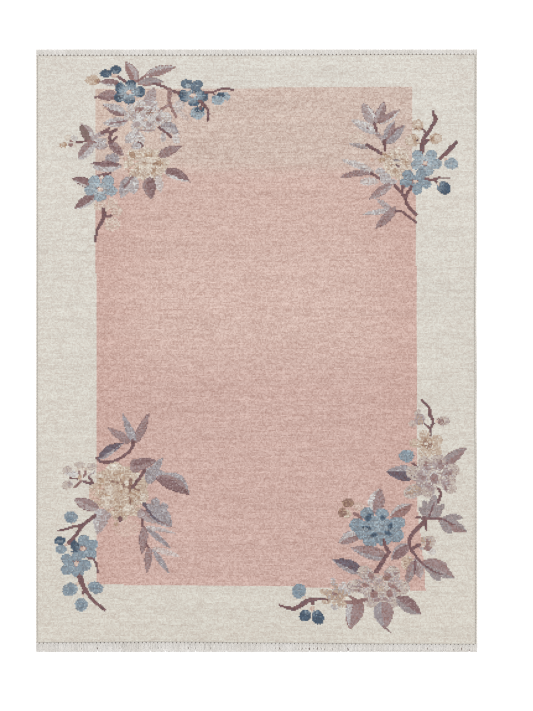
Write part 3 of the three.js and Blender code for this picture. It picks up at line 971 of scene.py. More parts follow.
def peony(chart):
    """The light blue peony and its leaves."""
    twig, leaf, petal, ray = chart.twig, chart.leaf, chart.petal, chart.ray
    petal((348.2, 503), (6.2, 4.6), "brown")
    petal((346.6, 514), (4.6, 4.6), "sand")
    petal((342.2, 512.6), (4, 5), "brown", odd=0.1)
    petal((358.6, 506.6), (6, 4.6), "cream", cover=0.4, odd=0.1)
    twig([(354.8, 513.4), (361.6, 518)], 3.2, tone="rosy")
    leaf((373.8, 514), (380.4, 488.4), 16.4, "pale", "mauve", 0.38, 0.02, full=0.45)
    leaf((363, 534.8), (338.6, 543), 12.6, "mauve", "lilac", 0, -0.08, full=0.5, edge="mauve")
    for base, tip, width in (
        ((372, 521), (363.4, 508.4), 13), ((380, 521), (383.4, 508.4), 13), ((386, 524), (405.4, 521.8), 12),
        ((386, 529), (402.6, 539), 15), ((381, 532), (386.6, 545), 14.4), ((374, 532), (367, 546), 15.6),
        ((369, 528), (349.6, 523.4), 13.6), ((370, 530), (356, 535), 13),
    ):
        ray(base, tip, width, ["soft_blue"], full=0.6, rim="blue")
    petal((377.6, 527), (15.4, 11.6), "soft_blue")
    petal((379, 523), (5, 5), "light_blue", odd=0.3)
    petal((376.6, 530), (7, 2), "light_blue", turn=10, odd=0.4)
    for centre, size, turn in (
        ((368, 518.2), (3.4, 4), -25), ((370, 514.8), (2.4, 1.8), 10), ((382.8, 517.8), (2.6, 3.4), 0),
        ((390.3, 526), (2.6, 3.8), -15), ((387.8, 533), (4.2, 2.6), -15), ((374, 534.8), (3.8, 2.5), 10),
        ((368.6, 527.8), (3.4, 1.7), -30), ((363.4, 527), (1.5, 1.5), 0),
    ):
        petal(centre, size, "deep_blue", turn)
        petal(centre, (size[0] * PEONY_MARK, size[1] * PEONY_MARK), "navy", turn)
    leaf((386.4, 556.8), (351, 547.6), 13.4, "grey", "mauve", 0.3, full=0.4, edge="mauve")
    twig([(383.8, 540), (385.5, 547), (389, 551.8), (384.4, 559), (380, 566), (376.6, 571.4)], 3.4, 4.8)
    leaf((361.4, 572), (332.4, 560), 12.8, "grey", "slate", 0.35, -0.03, full=0.36)


def lower_bloom(chart):
    """The lower mauve and white bloom."""
    petal, ray = chart.petal, chart.ray
    petal((380, 587), (20, 13), "shell", odd=0.15)
    for base, tip, width in (
        ((375, 581.6), (358.8, 567.4), 14), ((384, 581.6), (398.2, 568.4), 16.4),
        ((373, 587), (345.6, 586), 13.6), ((386, 587), (409.6, 587.6), 15.4),
        ((377, 591), (366.6, 606), 15), ((385, 591), (396, 607), 15.4), ((381, 592), (380.6, 608), 13),
    ):
        ray(base, tip, width, ["shell", "shell", "light_mauve", "shell"], full=0.6, odd=0.03)
    petal((379.6, 587.4), (6.4, 5), "shell")
    petal((379.8, 588), (4, 2.6), "sand", odd=0.3)
    petal((378.4, 580.6), (3, 2), "light_mauve")
    chart.marks(
        ((371, 575.6), (4, 2.4), -40, "rosewood"), ((387, 577), (4.6, 3.4), 20, "rosewood"),
        ((386, 578.2), (2.6, 1.6), 0, "brown"), ((365.6, 585.4), (4, 2), -10, "rosewood"),
        ((374, 594.2), (3.8, 3.8), 0, "rosewood"), ((372.8, 590.8), (1.4, 1.2), 0, "plum"),
        ((389.4, 593.6), (3, 4), 10, "rosewood"), ((392.6, 586.2), (5, 2), -20, "rosewood"),
        ((398, 590.6), (3, 1.4), 0, "rosewood"), ((377, 600), (4, 1.5), 10, "mauve"),
        ((355.4, 586.2), (4.6, 0.9), 0, "mauve"), ((357.6, 590), (4, 0.9), -10, "mauve"),
        ((384.4, 599.6), (4, 1.4), 0, "mauve"), ((396, 574), (3, 1.4), 30, "mauve"),
    )


def feathery_flower(chart):
    """The feathery tan flower, the cap and the leaves below."""
    twig, leaf, petal, ray = chart.twig, chart.leaf, chart.petal, chart.ray
    for tip, width, tones in (
        ((319.4, 590), 6.6, ["sand", "taupe", "taupe"]), ((332, 577.2), 7, ["lilac", "taupe", "taupe"]),
        ((345, 581.6), 7, ["pale", "lilac", "taupe"]), ((322.4, 602), 7, ["sand", "taupe", "taupe"]),
        ((334.6, 610.6), 10, ["lilac", "sand", "taupe"]), ((350.4, 590.6), 7.4, ["lilac", "taupe", "taupe"]),
        ((345.6, 607), 8, ["sand", "taupe", "taupe"]),
    ):
        ray((338, 596.4), tip, width, tones, full=0.55, cover=0.95, odd=0.1)
    petal((338, 596.4), (5.6, 4.6), "taupe", odd=0.2)
    petal((334.6, 593.6), (3, 1.6), "rosewood", -30)
    petal((332.6, 588), (2, 1.6), "blush")
    petal((344, 599.6), (2.2, 1.5), "peach")
    leaf((357, 600), (349.9, 629.4), 19, "mauve", "lilac", -0.3, full=0.32, edge="rosewood")
    twig([(346, 601.4), (354, 603.2)], 2.6, 3.4, "rosy")
    twig([(349.6, 596.4), (356.4, 600.4)], 2.2, 3.4, "rosy")
    twig([(354, 602), (360.6, 600.8), (366.6, 599.2)], 5.8, 3, "rosy")
    leaf((382.2, 601.6), (385.4, 628.8), 20, "mauve", "grey", -0.2, full=0.38)
    twig([(383, 626), (390.2, 631.8)], 2.4, 1.6, "dusk")
    leaf((397, 597), (420.8, 614.2), 15, "dusk", "warm_grey", -0.2, full=0.42)


def berry_twig(chart):
    """The twig with berries."""
    twig, petal = chart.twig, chart.petal
    twig([(279.4, 605), (286, 607.6), (294.6, 609)], 2, 4)
    twig([(294, 608.8), (300.6, 605.4), (307, 600.8)], 4, 5.4)
    twig([(306, 600.6), (315, 599), (322, 598.4), (327.4, 599.8)], 4.6, 2.2)
    twig([(313, 600.6), (312.6, 603.8)], 3.2)
    petal((299, 591), (6.8, 7.5), "soft_blue", turn=-25)
    petal((298, 592.6), (3.6, 4), "blue", odd=0.4)
    petal((304.5, 597.6), (1.9, 1.5), "peach")
    petal((305, 615.4), (5.9, 6), "navy")
    petal((307, 612.4), (2.8, 2.4), "blue", odd=0.35)
    petal((318, 617.4), (6, 7.3), "navy", turn=25)
    petal((315.4, 613), (3, 2.8), "blue", turn=25, odd=0.35)
    petal((312.3, 608.2), (2.5, 2.6), "peach")


# Every motif, in the order in which they are tied
MOTIFS = [
    top_buds, top_leaves, deep_blue_blossoms, right_twig, hanging_twig, grey_white_bloom,
    petals_below_bloom, border_leaves, cream_bloom, cream_bloom_leaves, edge_blossom,
    leaf_fan, cream_buds, edge_cream_bloom, light_blossoms, left_leaves, edge_twigs,
    curved_stem, whitish_blossom, big_cream_bloom, big_bloom_leaves, lobed_leaf, hanging_stem,
    border_berries,
    tan_blossom, mauve_bloom, right_stem, small_blossom, peony, lower_bloom, feathery_flower,
    berry_twig,
]

# The field's edge in the photograph's pixels: straight on the left, and set out in steps elsewhere
FIELD_LEFT = 96
FIELD_RIGHT = {"y": [190, 195, 505, 565, 590], "x": [412.5, 416, 417, 424, 425.5]}
FIELD_TOP = {"x": [250, 300], "y": [88.5, 87.2]}
FIELD_BOTTOM = {"x": [96, 270, 425], "y": [584.5, 586, 590.5]}


def field_knots(chart):
    """True for the knots of the pink field."""
    right = np.interp(chart.down, FIELD_RIGHT["y"], FIELD_RIGHT["x"])
    top = np.interp(chart.across, FIELD_TOP["x"], FIELD_TOP["y"])
    bottom = np.interp(chart.across, FIELD_BOTTOM["x"], FIELD_BOTTOM["y"])
    return (chart.across > FIELD_LEFT) & (chart.across < right) & (chart.down > top) & (chart.down < bottom)


# The pile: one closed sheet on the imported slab's outline


def slab_grid():
    """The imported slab's own top corners, as rows from the bottom end to the top end."""
    spots = np.array([corner.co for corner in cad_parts["rug"].data.vertices])
    top = spots[spots[:, 2] > spots[:, 2].max() - 0.1 * MM, :2]
    top = np.unique(np.round(top, 6), axis=0)
    rows = int(round(math.sqrt(len(top))))
    top = top[np.argsort(top[:, 1])].reshape(rows, rows, 2)
    return np.stack([row[np.argsort(row[:, 0])] for row in top])


SLAB = slab_grid()


def on_slab(u, v, inset=TOP_INSET):
    """Places at shares u across and v along the slab, at a level whose outline is inset by that much."""
    spans = len(SLAB) - 1
    column = np.clip((u * spans).astype(int), 0, spans - 1)
    row = np.clip((v * spans).astype(int), 0, spans - 1)
    s, t = (u * spans - column)[..., None], (v * spans - row)[..., None]
    low = SLAB[row, column] * (1 - s) + SLAB[row, column + 1] * s
    high = SLAB[row + 1, column] * (1 - s) + SLAB[row + 1, column + 1] * s
    spread = np.stack([2 * u - 1, 2 * v - 1], -1) * (TOP_INSET - np.asarray(inset)[..., None])
    return low * (1 - t) + high * t + spread


def knot_chart():
    rows = (np.arange(KNOTS_ALONG) + 0.5) / KNOTS_ALONG
    columns = (np.arange(KNOTS_ACROSS) + 0.5) / KNOTS_ACROSS
    v, u = np.meshgrid(rows, columns, indexing="ij")
    spots = on_slab(u, v)
    across = BOX_LEFT + (spots[..., 0] - cad_low[0]) / PIXEL
    down = BOX_TOP + (cad_high[1] - spots[..., 1]) / PIXEL
    chart = Chart(across, down)
    for motif in MOTIFS:
        motif(chart)
    return chart


def ring_of(rows, columns):
    """The corners round a block of knots, anticlockwise from its lowest."""
    return (
        [(0, i) for i in range(columns)]
        + [(j, columns) for j in range(rows)]
        + [(rows, columns - i) for i in range(columns)]
        + [(rows - j, 0) for j in range(rows)]
    )


def lattice(codes, step, edge):
    """Corners in use and faces of a knot lattice. Blocks of one code stay whole, and others are cut
    into squares of step knots. Each face is its corners' (row, column) and its knot. The corners in
    edge are in use too."""
    block_rows, block_columns = KNOTS_ALONG // BLOCK, KNOTS_ACROSS // BLOCK
    blocks = codes.reshape(block_rows, BLOCK, block_columns, BLOCK)
    plain = blocks.min((1, 3)) == blocks.max((1, 3))
    used = np.zeros((KNOTS_ALONG + 1, KNOTS_ACROSS + 1), bool)
    used[::BLOCK, ::BLOCK] = True
    for row, column in np.argwhere(~plain) * BLOCK:
        used[row : row + BLOCK + 1 : step, column : column + BLOCK + 1 : step] = True
    for spot in edge:
        used[spot] = True
    around, about = ring_of(BLOCK, BLOCK), ring_of(step, step)
    faces, knots = [], []
    for (row, column), whole in np.ndenumerate(plain):
        row, column = row * BLOCK, column * BLOCK
        if whole:
            walk = [(row + j, column + i) for j, i in around]
            faces.append([spot for spot in walk if used[spot]])
            knots.append((row, column))
            continue
        for j in range(row, row + BLOCK, step):
            for i in range(column, column + BLOCK, step):
                walk = [(j + down, i + across) for down, across in about]
                faces.append([spot for spot in walk if used[spot]])
                knots.append((j, i))
    return used, faces, np.array(knots)


# Where the pile's parts lie on its picture sheet: left, bottom, width and height as shares of it
SHEET_TOP = (0.003, 0.004, 0.730, 0.992)
SHEET_BACK = (0.768, 0.004, 0.228, 0.992)
SHEET_RIM = (0.737, 0.004, 0.024, 0.992)
RIM_STRIP = 0.9


class PileSheet:
    """Corners, faces, materials and maps of the pile while its top, back and rim are laid."""

    def __init__(self):
        self.corners, self.faces, self.materials, self.knots = [], [], [], []
        self.sheet_uv, self.knot_uv = [], []
        self.count = 0

    def put(self, u, v, level):
        """Adds corners at one level of the rim's section, and gives their numbers."""
        flat = on_slab(u, v, level["inset"] * MM)
        self.corners.append(np.column_stack([flat, np.full(len(flat), level["height"] * MM)]))
        self.count += len(flat)
        return np.arange(self.count - len(flat), self.count)

    def lay(self, codes, step, level, edge, picture, material):
        """The top, or with material 1 the back. Gives its corners' numbers and those in use round it."""
        used, cells, knots = lattice(codes, step, edge)
        spots = np.argwhere(used)
        number = np.full(used.shape, -1)
        number[used] = self.put(spots[:, 1] / KNOTS_ACROSS, spots[:, 0] / KNOTS_ALONG, level)
        left, bottom, width, height = picture
        for cell in cells:
            cell = cell[::-1] if material else cell
            self.faces.append([int(number[spot]) for spot in cell])
            for j, i in cell:
                self.sheet_uv.append((left + width * i / KNOTS_ACROSS, bottom + height * j / KNOTS_ALONG))
                self.knot_uv.append((i, j))
        self.knots.append(knots)
        self.materials += [material] * len(cells)
        return number, [spot for spot in ring_of(KNOTS_ALONG, KNOTS_ACROSS) if used[spot]]

    def close(self, top, back, edge):
        """The rim: rings of faces between the top's outline and the back's."""
        v, u = np.array(edge).T / np.array([[KNOTS_ALONG], [KNOTS_ACROSS]])
        middle = [self.put(u, v, level).tolist() for level in RIM[1:-1]]
        rings = [[int(top[spot]) for spot in edge], *middle, [int(back[spot]) for spot in edge]]
        left, bottom, width, height = SHEET_RIM
        for level, (upper, lower) in enumerate(zip(rings, rings[1:])):
            for i in range(len(edge)):
                after = (i + 1) % len(edge)
                self.faces.append([upper[i], lower[i], lower[after], upper[after]])
                side = 4 * i // len(edge)
                start, end = 4 * i / len(edge) - side, 4 * (i + 1) / len(edge) - side
                x0 = left + width / 4 * (side + RIM_STRIP * level / (len(rings) - 1))
                x1 = left + width / 4 * (side + RIM_STRIP * (level + 1) / (len(rings) - 1))
                y0, y1 = bottom + height * start, bottom + height * min(end, 1)
                self.sheet_uv += [(x0, y0), (x1, y0), (x1, y1), (x0, y1)]
                near, far = i * BLOCK, (i + 1) * BLOCK
                self.knot_uv += [(near, -level), (near, -level - 1), (far, -level - 1), (far, -level)]
        rim_faces = len(edge) * (len(rings) - 1)
        self.materials += [0] * rim_faces
        self.knots.append(np.zeros((rim_faces, 2), int))


def make_pile(chart, materials):
    field = field_knots(chart)
    rows = np.concatenate([np.round(chart.yarn, 4), field[..., None]], -1).reshape(-1, 5)
    codes = np.unique(rows, axis=0, return_inverse=True)[1].reshape(KNOTS_ALONG, KNOTS_ACROSS)
    sheet = PileSheet()
    top, edge = sheet.lay(codes, 1, RIM[0], [], SHEET_TOP, 0)
    back, edge = sheet.lay(codes, BACK_STEP, RIM[-1], edge, SHEET_BACK, 1)
    sheet.close(top, back, edge)
    corners = np.concatenate(sheet.corners)
    piece = add_mesh("pile", corners, sheet.faces, materials, sheet.materials, smooth=False)
    row, column = np.concatenate(sheet.knots).T
    yarn = chart.yarn[row, column].copy()
    yarn[:, :3] /= LIGHT_ON_RUG
    add_layer(piece, "yarn", "FLOAT_COLOR", yarn)
    add_layer(piece, "field", "FLOAT", field[row, column])
    add_uv(piece, "OFBake", sheet.sheet_uv)
    add_uv(piece, "Knots", sheet.knot_uv)
    return piece


# Materials


class Graph:
    """A material's nodes. A link or a plain value can be given for each input."""

    def __init__(self, name):
        self.material = bpy.data.materials.new(name)
        self.material.use_nodes = True
        self.tree = self.material.node_tree
        self.shader = self.tree.nodes["Principled BSDF"]

    def add(self, kind, inputs=(), output=0, **settings):
        node = self.tree.nodes.new("ShaderNode" + kind)
        for key, value in settings.items():
            setattr(node, key, value)
        for key, value in dict(inputs).items():
            self.put(node, key, value)
        return node.outputs if output is None else node.outputs[output]

    def put(self, node, key, value):
        if isinstance(value, bpy.types.NodeSocket):
            self.tree.links.new(value, node.inputs[key])
        else:
            node.inputs[key].default_value = value

    def math(self, operation, a, b=0.0, c=0.0):
        return self.add("Math", {0: a, 1: b, 2: c}, operation=operation)

    def vector(self, operation, a, b=(0, 0, 0)):
        return self.add("VectorMath", {0: a, 1: b}, operation=operation)

    def split(self, vector):
        return self.add("SeparateXYZ", {0: vector}, output=None)[:2]

    def noise(self, spot, scale=1.0, detail=3.0, roughness=0.6):
        inputs = {"Vector": spot, "Scale": scale, "Detail": detail, "Roughness": roughness}
        return self.add("TexNoise", inputs)

    def number(self, name):
        """A number that the mesh holds for each face."""
        return self.add("Attribute", output=2, attribute_name=name)

    def yarn(self):
        """The face's yarn colour, and how much of the ground it covers."""
        yarn, _, _, cover = self.add("Attribute", output=None, attribute_name="yarn")
        return yarn, cover

    def span(self, value, low, high, to_low=0.0, to_high=1.0, smooth=True):
        """The value's place between low and high, eased."""
        return self.add(
            "MapRange", {"Value": value, 1: low, 2: high, 3: to_low, 4: to_high},
            interpolation_type="SMOOTHSTEP" if smooth else "LINEAR",
        )

    def ramp(self, value, low, high, lots):
        """Display colours of dye lots that take over from each other between low and high."""
        node = self.tree.nodes.new("ShaderNodeValToRGB")
        stops = [(low, lots[0]["colour"])]
        for before, lot in zip(lots, lots[1:]):
            stops.append((lot["at"] - lot["over"] / 2, before["colour"]))
            stops.append((lot["at"] + lot["over"] / 2, lot["colour"]))
        self.put(node, "Fac", self.span(value, low, high, smooth=False))
        elements = node.color_ramp.elements
        while len(elements) < len(stops):
            elements.new(0.5)
        for element, (at, colour) in zip(elements, stops):
            element.position = (at - low) / (high - low)
            element.color = dyed(colour)
        return node.outputs[0]

    def mix(self, share, a, b):
        return self.add("Mix", {0: share, 6: a, 7: b}, output=2, data_type="RGBA")

    def tint(self, colour, amount):
        """The colour times an amount that varies over the surface."""
        return self.add("VectorMath", {0: colour, "Scale": amount}, operation="SCALE")

    def bump(self, height, strength, distance):
        return self.add("Bump", {"Strength": strength, "Distance": distance, "Height": height})

    def finish(self, colour, roughness, normal, sheen=0.1):
        for key, value in (
            ("Base Color", colour), ("Roughness", roughness), ("Normal", normal), ("Sheen Weight", sheen),
            ("Sheen Roughness", 0.5), ("Specular IOR Level", 0.25),
        ):
            self.put(self.shader, key, value)
        return self.material


# The ground's dye lots down the rug: y in the photograph's pixels where each takes over, and over how
# many. Then the rows of pixels between which the field and the border are dyed.
FIELD_LOTS = [
    {"at": 88, "over": 0, "colour": (208, 187, 176)},
    {"at": 170, "over": 16, "colour": (209, 179, 169)},
    {"at": 250, "over": 60, "colour": (211, 182, 172)},
    {"at": 360, "over": 50, "colour": (205, 173, 164)},
]
BORDER_LOTS = [
    {"at": 48, "over": 0, "colour": (218, 213, 204)},
    {"at": 350, "over": 600, "colour": (214, 208, 197)},
]
FIELD_ROWS, BORDER_ROWS = (86, 592), (48, 655)
PEACH = (214, 192, 178)
SIDE_PINK = (205, 170, 160)

# Shading towards the field's sides: the pixels between which it changes, and the light or the share of
# pink at each. The pink starts between two rows of pixels.
LEFT_LIGHT, RIGHT_LIGHT = (92, 140, 0.97, 1), (360, 412, 1, 0.978)
LEFT_PINK, RIGHT_PINK = (96, 170, 0.65, 0), (345, 412, 0, 0.6)
PINK_ROWS = (165, 200)

# The peach part round the field's top left corner: its middle, and its share by pixels from there
PEACH_ACROSS, PEACH_DOWN = 104, 112
PEACH_REACH = (18, 76, 0.55, 0)

# Noises over the knots: how much each is stretched across and along the rug. Then how far, in pixels,
# the streaks shift the dye lots, and how the bars and the border's clouds change the light.
STREAKS, BARS = (0.03, 0.5, 1), (0.004, 0.16, 1)
STREAK_SHIFT = 26.0
BAR_LIGHT = (0.28, 0.72, 0.955, 1.045)
CLOUD_SCALE, CLOUD_LIGHT = 2.6, (0.3, 0.7, 0.98, 1.018)

# How much a knot, a short run, a longer run and a dye lot's run differ in shade, and how many knots each
# is. Then the grain's strength in the border, and what the field and the flowers add to it.
GRAIN = [(1, 0.43), (3.3, 0.14), (7.5, 0.17), (90, 0.075)]
GRAIN_BY_CHANNEL = (0.66, 0.93, 1.0)
BORDER_GRAIN, FIELD_GRAIN, FLOWER_GRAIN = 0.63, 0.37, 0.45
ROW_SEED, RUN_SHIFT = 31.7, 17.0

# The tufts: how loosely they stand, the painted shade between them, their relief, and how dull wool and silk
# are
TUFT_SCATTER = 0.55
TUFT_GAP_SHADE = (0.25, 0.75, 0.04, -0.09)
TUFT_RELIEF, FIBRE_RELIEF = -0.8, 0.5
WOOL_ROUGHNESS, SILK_GLOSS = 0.86, 0.22

# The back: border, field, how far the yarns show through, the loops' light and each knot's own
BACK_BORDER, BACK_FIELD, BACK_COVER = (206, 198, 184), (200, 168, 158), 0.8
LOOP_RELIEF, LOOP_LIGHT = 0.4, (0.1, 0.9, 0.74, 1.02)
SPECKLE, SPECKLE_FROM = 0.16, 0.92


def knot_grain(g, knots):
    """A shade of its own for each knot and for runs of knots along a row, around 0."""
    column, row = g.split(knots)
    row = g.math("FLOOR", row)
    total = 0.0
    for number, (length, amount) in enumerate(GRAIN):
        start = g.add("TexWhiteNoise", {"W": g.math("ADD", row, ROW_SEED * number)}, noise_dimensions="1D")
        runs = g.math("DIVIDE", column, length)
        shift = g.math("MULTIPLY", start, RUN_SHIFT * (length > 1))
        run = g.math("FLOOR", g.math("ADD", runs, shift))
        cell = g.add("CombineXYZ", {0: run, 1: row, 2: float(number)})
        shade = g.add("TexWhiteNoise", {"Vector": cell}, noise_dimensions="3D")
        total = g.math("MULTIPLY_ADD", g.math("SUBTRACT", shade, 0.5), amount, total)
    return total


def field_ground(g, across, down, knots):
    """The field's dyes: lots down the rug, streaky where they change, with pink sides and a peach part."""
    streaks = g.noise(g.vector("MULTIPLY", knots, STREAKS))
    streaky_down = g.math("MULTIPLY_ADD", g.math("SUBTRACT", streaks, 0.5), STREAK_SHIFT, down)
    field = g.ramp(streaky_down, *FIELD_ROWS, FIELD_LOTS)
    field = g.tint(field, g.math("MULTIPLY", g.span(across, *LEFT_LIGHT), g.span(across, *RIGHT_LIGHT)))
    deeper = g.math("MAXIMUM", g.span(across, *LEFT_PINK), g.span(across, *RIGHT_PINK))
    field = g.mix(g.math("MULTIPLY", deeper, g.span(down, *PINK_ROWS)), field, dyed(SIDE_PINK))
    from_middle = (g.math("SUBTRACT", across, PEACH_ACROSS), g.math("SUBTRACT", down, PEACH_DOWN))
    corner = g.add("CombineXYZ", dict(enumerate(from_middle)))
    reach = g.add("VectorMath", {0: corner}, output=1, operation="LENGTH")
    return g.mix(g.span(reach, *PEACH_REACH), field, dyed(PEACH))


def border_ground(g, down, spot):
    """The border's dyes, with faint clouds."""
    cloud = g.noise(spot, CLOUD_SCALE)
    return g.tint(g.ramp(down, *BORDER_ROWS, BORDER_LOTS), g.span(cloud, *CLOUD_LIGHT))


def pile_material():
    g = Graph("wool_and_silk_pile")
    spot = g.add("TexCoord", output=3)
    x, y = g.split(spot)
    across = g.math("MULTIPLY_ADD", x, 1 / PIXEL, BOX_LEFT - cad_low[0] / PIXEL)
    down = g.math("MULTIPLY_ADD", y, -1 / PIXEL, BOX_TOP + cad_high[1] / PIXEL)
    knots = g.add("UVMap", uv_map="Knots")
    field_share = g.number("field")
    ground = g.mix(field_share, border_ground(g, down, spot), field_ground(g, across, down, knots))
    # Dye-lot bars that run right across, each a few rows high
    bars = g.noise(g.vector("MULTIPLY", knots, BARS), detail=4.0, roughness=0.7)
    ground = g.tint(ground, g.span(bars, *BAR_LIGHT, smooth=False))
    yarn, cover = g.yarn()
    colour = g.mix(cover, ground, yarn)
    # Each knot's own shade, and painted shade that darkens the gaps between tufts, weaker in the border and
    # stronger in the flowers
    tufts = g.add(
        "TexVoronoi", {"Vector": knots, "Scale": 1.0, "Randomness": TUFT_SCATTER}, voronoi_dimensions="2D"
    )
    grain = g.math("ADD", knot_grain(g, knots), g.span(tufts, *TUFT_GAP_SHADE))
    strength = g.math("MULTIPLY_ADD", field_share, FIELD_GRAIN, BORDER_GRAIN)
    strength = g.math("MULTIPLY_ADD", cover, FLOWER_GRAIN, strength)
    grain = g.tint(GRAIN_BY_CHANNEL, g.math("MULTIPLY", grain, strength))
    colour = g.vector("MULTIPLY", colour, g.vector("ADD", grain, (1, 1, 1)))
    # Cut yarn ends and fibres
    fibre = g.noise(knots, 5.5, roughness=0.65)
    height = g.math("MULTIPLY_ADD", tufts, TUFT_RELIEF, g.math("MULTIPLY", fibre, FIBRE_RELIEF))
    roughness = g.math("MULTIPLY_ADD", cover, -SILK_GLOSS, WOOL_ROUGHNESS)
    return g.finish(colour, roughness, g.bump(height, 0.5, 1.1 * MM), sheen=0.12)


def back_material():
    """The underside: the same design in rows of flat loops on cotton."""
    g = Graph("knotted_back")
    knots = g.add("UVMap", uv_map="Knots")
    ground = g.mix(g.number("field"), dyed(BACK_BORDER), dyed(BACK_FIELD))
    yarn, cover = g.yarn()
    colour = g.mix(g.math("MULTIPLY", cover, BACK_COVER), ground, yarn)
    column, row = g.split(knots)
    rib = g.math("ABSOLUTE", g.math("SINE", g.math("MULTIPLY", row, math.pi)))
    loop = g.math("ABSOLUTE", g.math("SINE", g.math("MULTIPLY", column, 2 * math.pi)))
    height = g.math("MULTIPLY_ADD", loop, LOOP_RELIEF, rib)
    speckle = g.add("TexWhiteNoise", {"Vector": g.vector("FLOOR", knots)}, noise_dimensions="2D")
    speckle = g.math("MULTIPLY_ADD", speckle, SPECKLE, SPECKLE_FROM)
    shade = g.math("MULTIPLY", g.span(height, *LOOP_LIGHT), speckle)
    return g.finish(g.tint(colour, shade), 0.9, g.bump(height, 0.7, 0.8 * MM), sheen=0.05)


# The loose yarns: their display colour, the one that they wander to, and how fine their fibres are
RIM_YARN = ((212, 206, 196), (218, 212, 203), 700)
CORD_YARN = ((234, 229, 221), (228, 222, 212), 500)
WARP_YARN = ((240, 237, 233), (234, 230, 224), 600)
# The dark yarn of the strip under the fringe's roots is painted shade that shows between the locks
PAINTED_SHADE_YARN = ((128, 104, 96), (152, 130, 122), 420)
WANDER_SCALE, WANDER_SPAN = 9.0, (0.35, 0.65, 0, 1)
FIBRE_LIGHT = (0.25, 0.75, 0.88, 1.08)


def yarn_material(name, colour, wander, scale, sheen=0.1):
    """Loose yarn, with a shade from the mesh, partly painted shade at roots and between wraps, and fibres
    along it.
    """
    g = Graph(name)
    spot = g.add("TexCoord", output=3)
    fibre = g.noise(spot, scale, detail=4.0, roughness=0.7)
    warm = g.noise(spot, WANDER_SCALE, detail=2.0, roughness=0.5)
    base = g.mix(g.span(warm, *WANDER_SPAN), dyed(colour), dyed(wander))
    amount = g.math("MULTIPLY", g.number("shade"), g.span(fibre, *FIBRE_LIGHT))
    return g.finish(g.tint(base, amount), 0.84, g.bump(fibre, 0.55, 0.5 * MM), sheen=sheen)


# The cut rim of the pile

# How far apart tufts stand, and their rings from root to tip, in millimetres, each with its width as a
# share of the tuft's
TUFT_SPACING = 3.1 * MM
TUFT_RINGS = [
    {"height": 2.2, "inset": 1.3, "width": 0.9},
    {"height": 6.0, "inset": 1.0, "width": 1.0},
    {"height": 9.4, "inset": 1.5, "width": 0.95},
    {"height": 10.9, "inset": 2.8, "width": 0.5},
]
TUFT_SIDES = 5

# How far tufts differ: place, half width, height and lean. Then how far in and up the inner row stands,
# how the lean bends, the highest tip, and shades from root to tip and of the two ends, darker at the root as
# painted shade, and of chance
TUFT_STRAY = 0.25
TUFT_WIDTH, TUFT_TALL, TUFT_LEAN = (1.1, 1.6), (0.93, 1.06), 0.9
INNER_INSET, INNER_LIFT, LEAN_BEND = 1.9, 0.35, 1.5
TUFT_TOP = 11.6 * MM
TUFT_PAINTED_SHADES, TUFT_END_SHADES, TUFT_TONES = (0.76, 1.0), [0.7, 1.0], (0.92, 1.06)


def tuft_spots():
    """Places at shares across and along the slab, in two rows round its edge, and each one's row."""
    spots = []
    for side, edge in enumerate((SLAB[0], SLAB[:, -1], SLAB[-1], SLAB[:, 0])):
        n = int(np.linalg.norm(np.diff(edge, axis=0), axis=1).sum() / TUFT_SPACING)
        for row in range(2):
            stray = rng.uniform(-TUFT_STRAY, TUFT_STRAY, n)
            t = np.clip((np.arange(n) + 0.5 * row + stray) / n, 0, 1)
            still = np.full(n, float(side in (1, 2)))
            u, v = (t, still) if side % 2 == 0 else (still, t)
            spots.append(np.column_stack([u, v, np.full(n, row)]))
    return np.concatenate(spots).T


def make_rim(materials):
    """Tufts round the rug's edge that stand a little apart, so that the side shows cut yarn."""
    u, v, row = tuft_spots()
    n = len(u)
    width = rng.uniform(*TUFT_WIDTH, n)
    tall = rng.uniform(*TUFT_TALL, n)
    lean = rng.uniform(-TUFT_LEAN, TUFT_LEAN, (n, 2))
    rings = len(TUFT_RINGS)
    paths = np.zeros((n, rings, 3))
    for number, ring in enumerate(TUFT_RINGS):
        share = (number / (rings - 1)) ** LEAN_BEND
        spot = on_slab(u, v, (ring["inset"] + INNER_INSET * row) * MM)
        paths[:, number, :2] = spot + lean * share * MM
        height = (ring["height"] + INNER_LIFT * share * row) * MM
        paths[:, number, 2] = height * (1 + (tall - 1) * share)
    radii = np.stack([width * ring["width"] for ring in TUFT_RINGS], 1) * MM
    turn = rng.uniform(0, 2 * math.pi, n)[:, None] + np.arange(TUFT_SIDES) * 2 * math.pi / TUFT_SIDES
    circle = np.stack([np.cos(turn), np.sin(turn), np.zeros_like(turn)], -1)
    corners = paths[:, :, None] + circle[:, None] * radii[:, :, None, None]
    corners[..., 2] = np.minimum(corners[..., 2], TUFT_TOP)
    # Darker towards each tuft's root: painted shade where the tufts stand close
    level = np.append(np.repeat(np.linspace(*TUFT_PAINTED_SHADES, rings - 1), TUFT_SIDES), TUFT_END_SHADES)
    shades = (level * rng.uniform(*TUFT_TONES, (n, 1))).ravel()
    parts = Parts()
    parts.add(corners.reshape(-1, 3), tube_faces(n, rings, TUFT_SIDES), shades)
    return parts.piece("pile_rim", materials)


# The overcast sides

SELVEDGE_WIDTH = {"left": 6.5 * MM, "right": 8.0 * MM}
SELVEDGE_HEIGHT = 7.0 * MM
WRAP_PITCH = 3.6 * MM
WRAPS_PER_MARK = 4
RINGS_PER_WRAP, CORD_SIDES = 4, 12

# Powers under 1 that square the cord's section and fill out a wrap, and how far a wrap slants
SQUARE_ACROSS, SQUARE_UP, WRAP_FULL = 0.8, 0.75, 0.6
SLANT_ACROSS, SLANT_UP = 0.8, 0.3
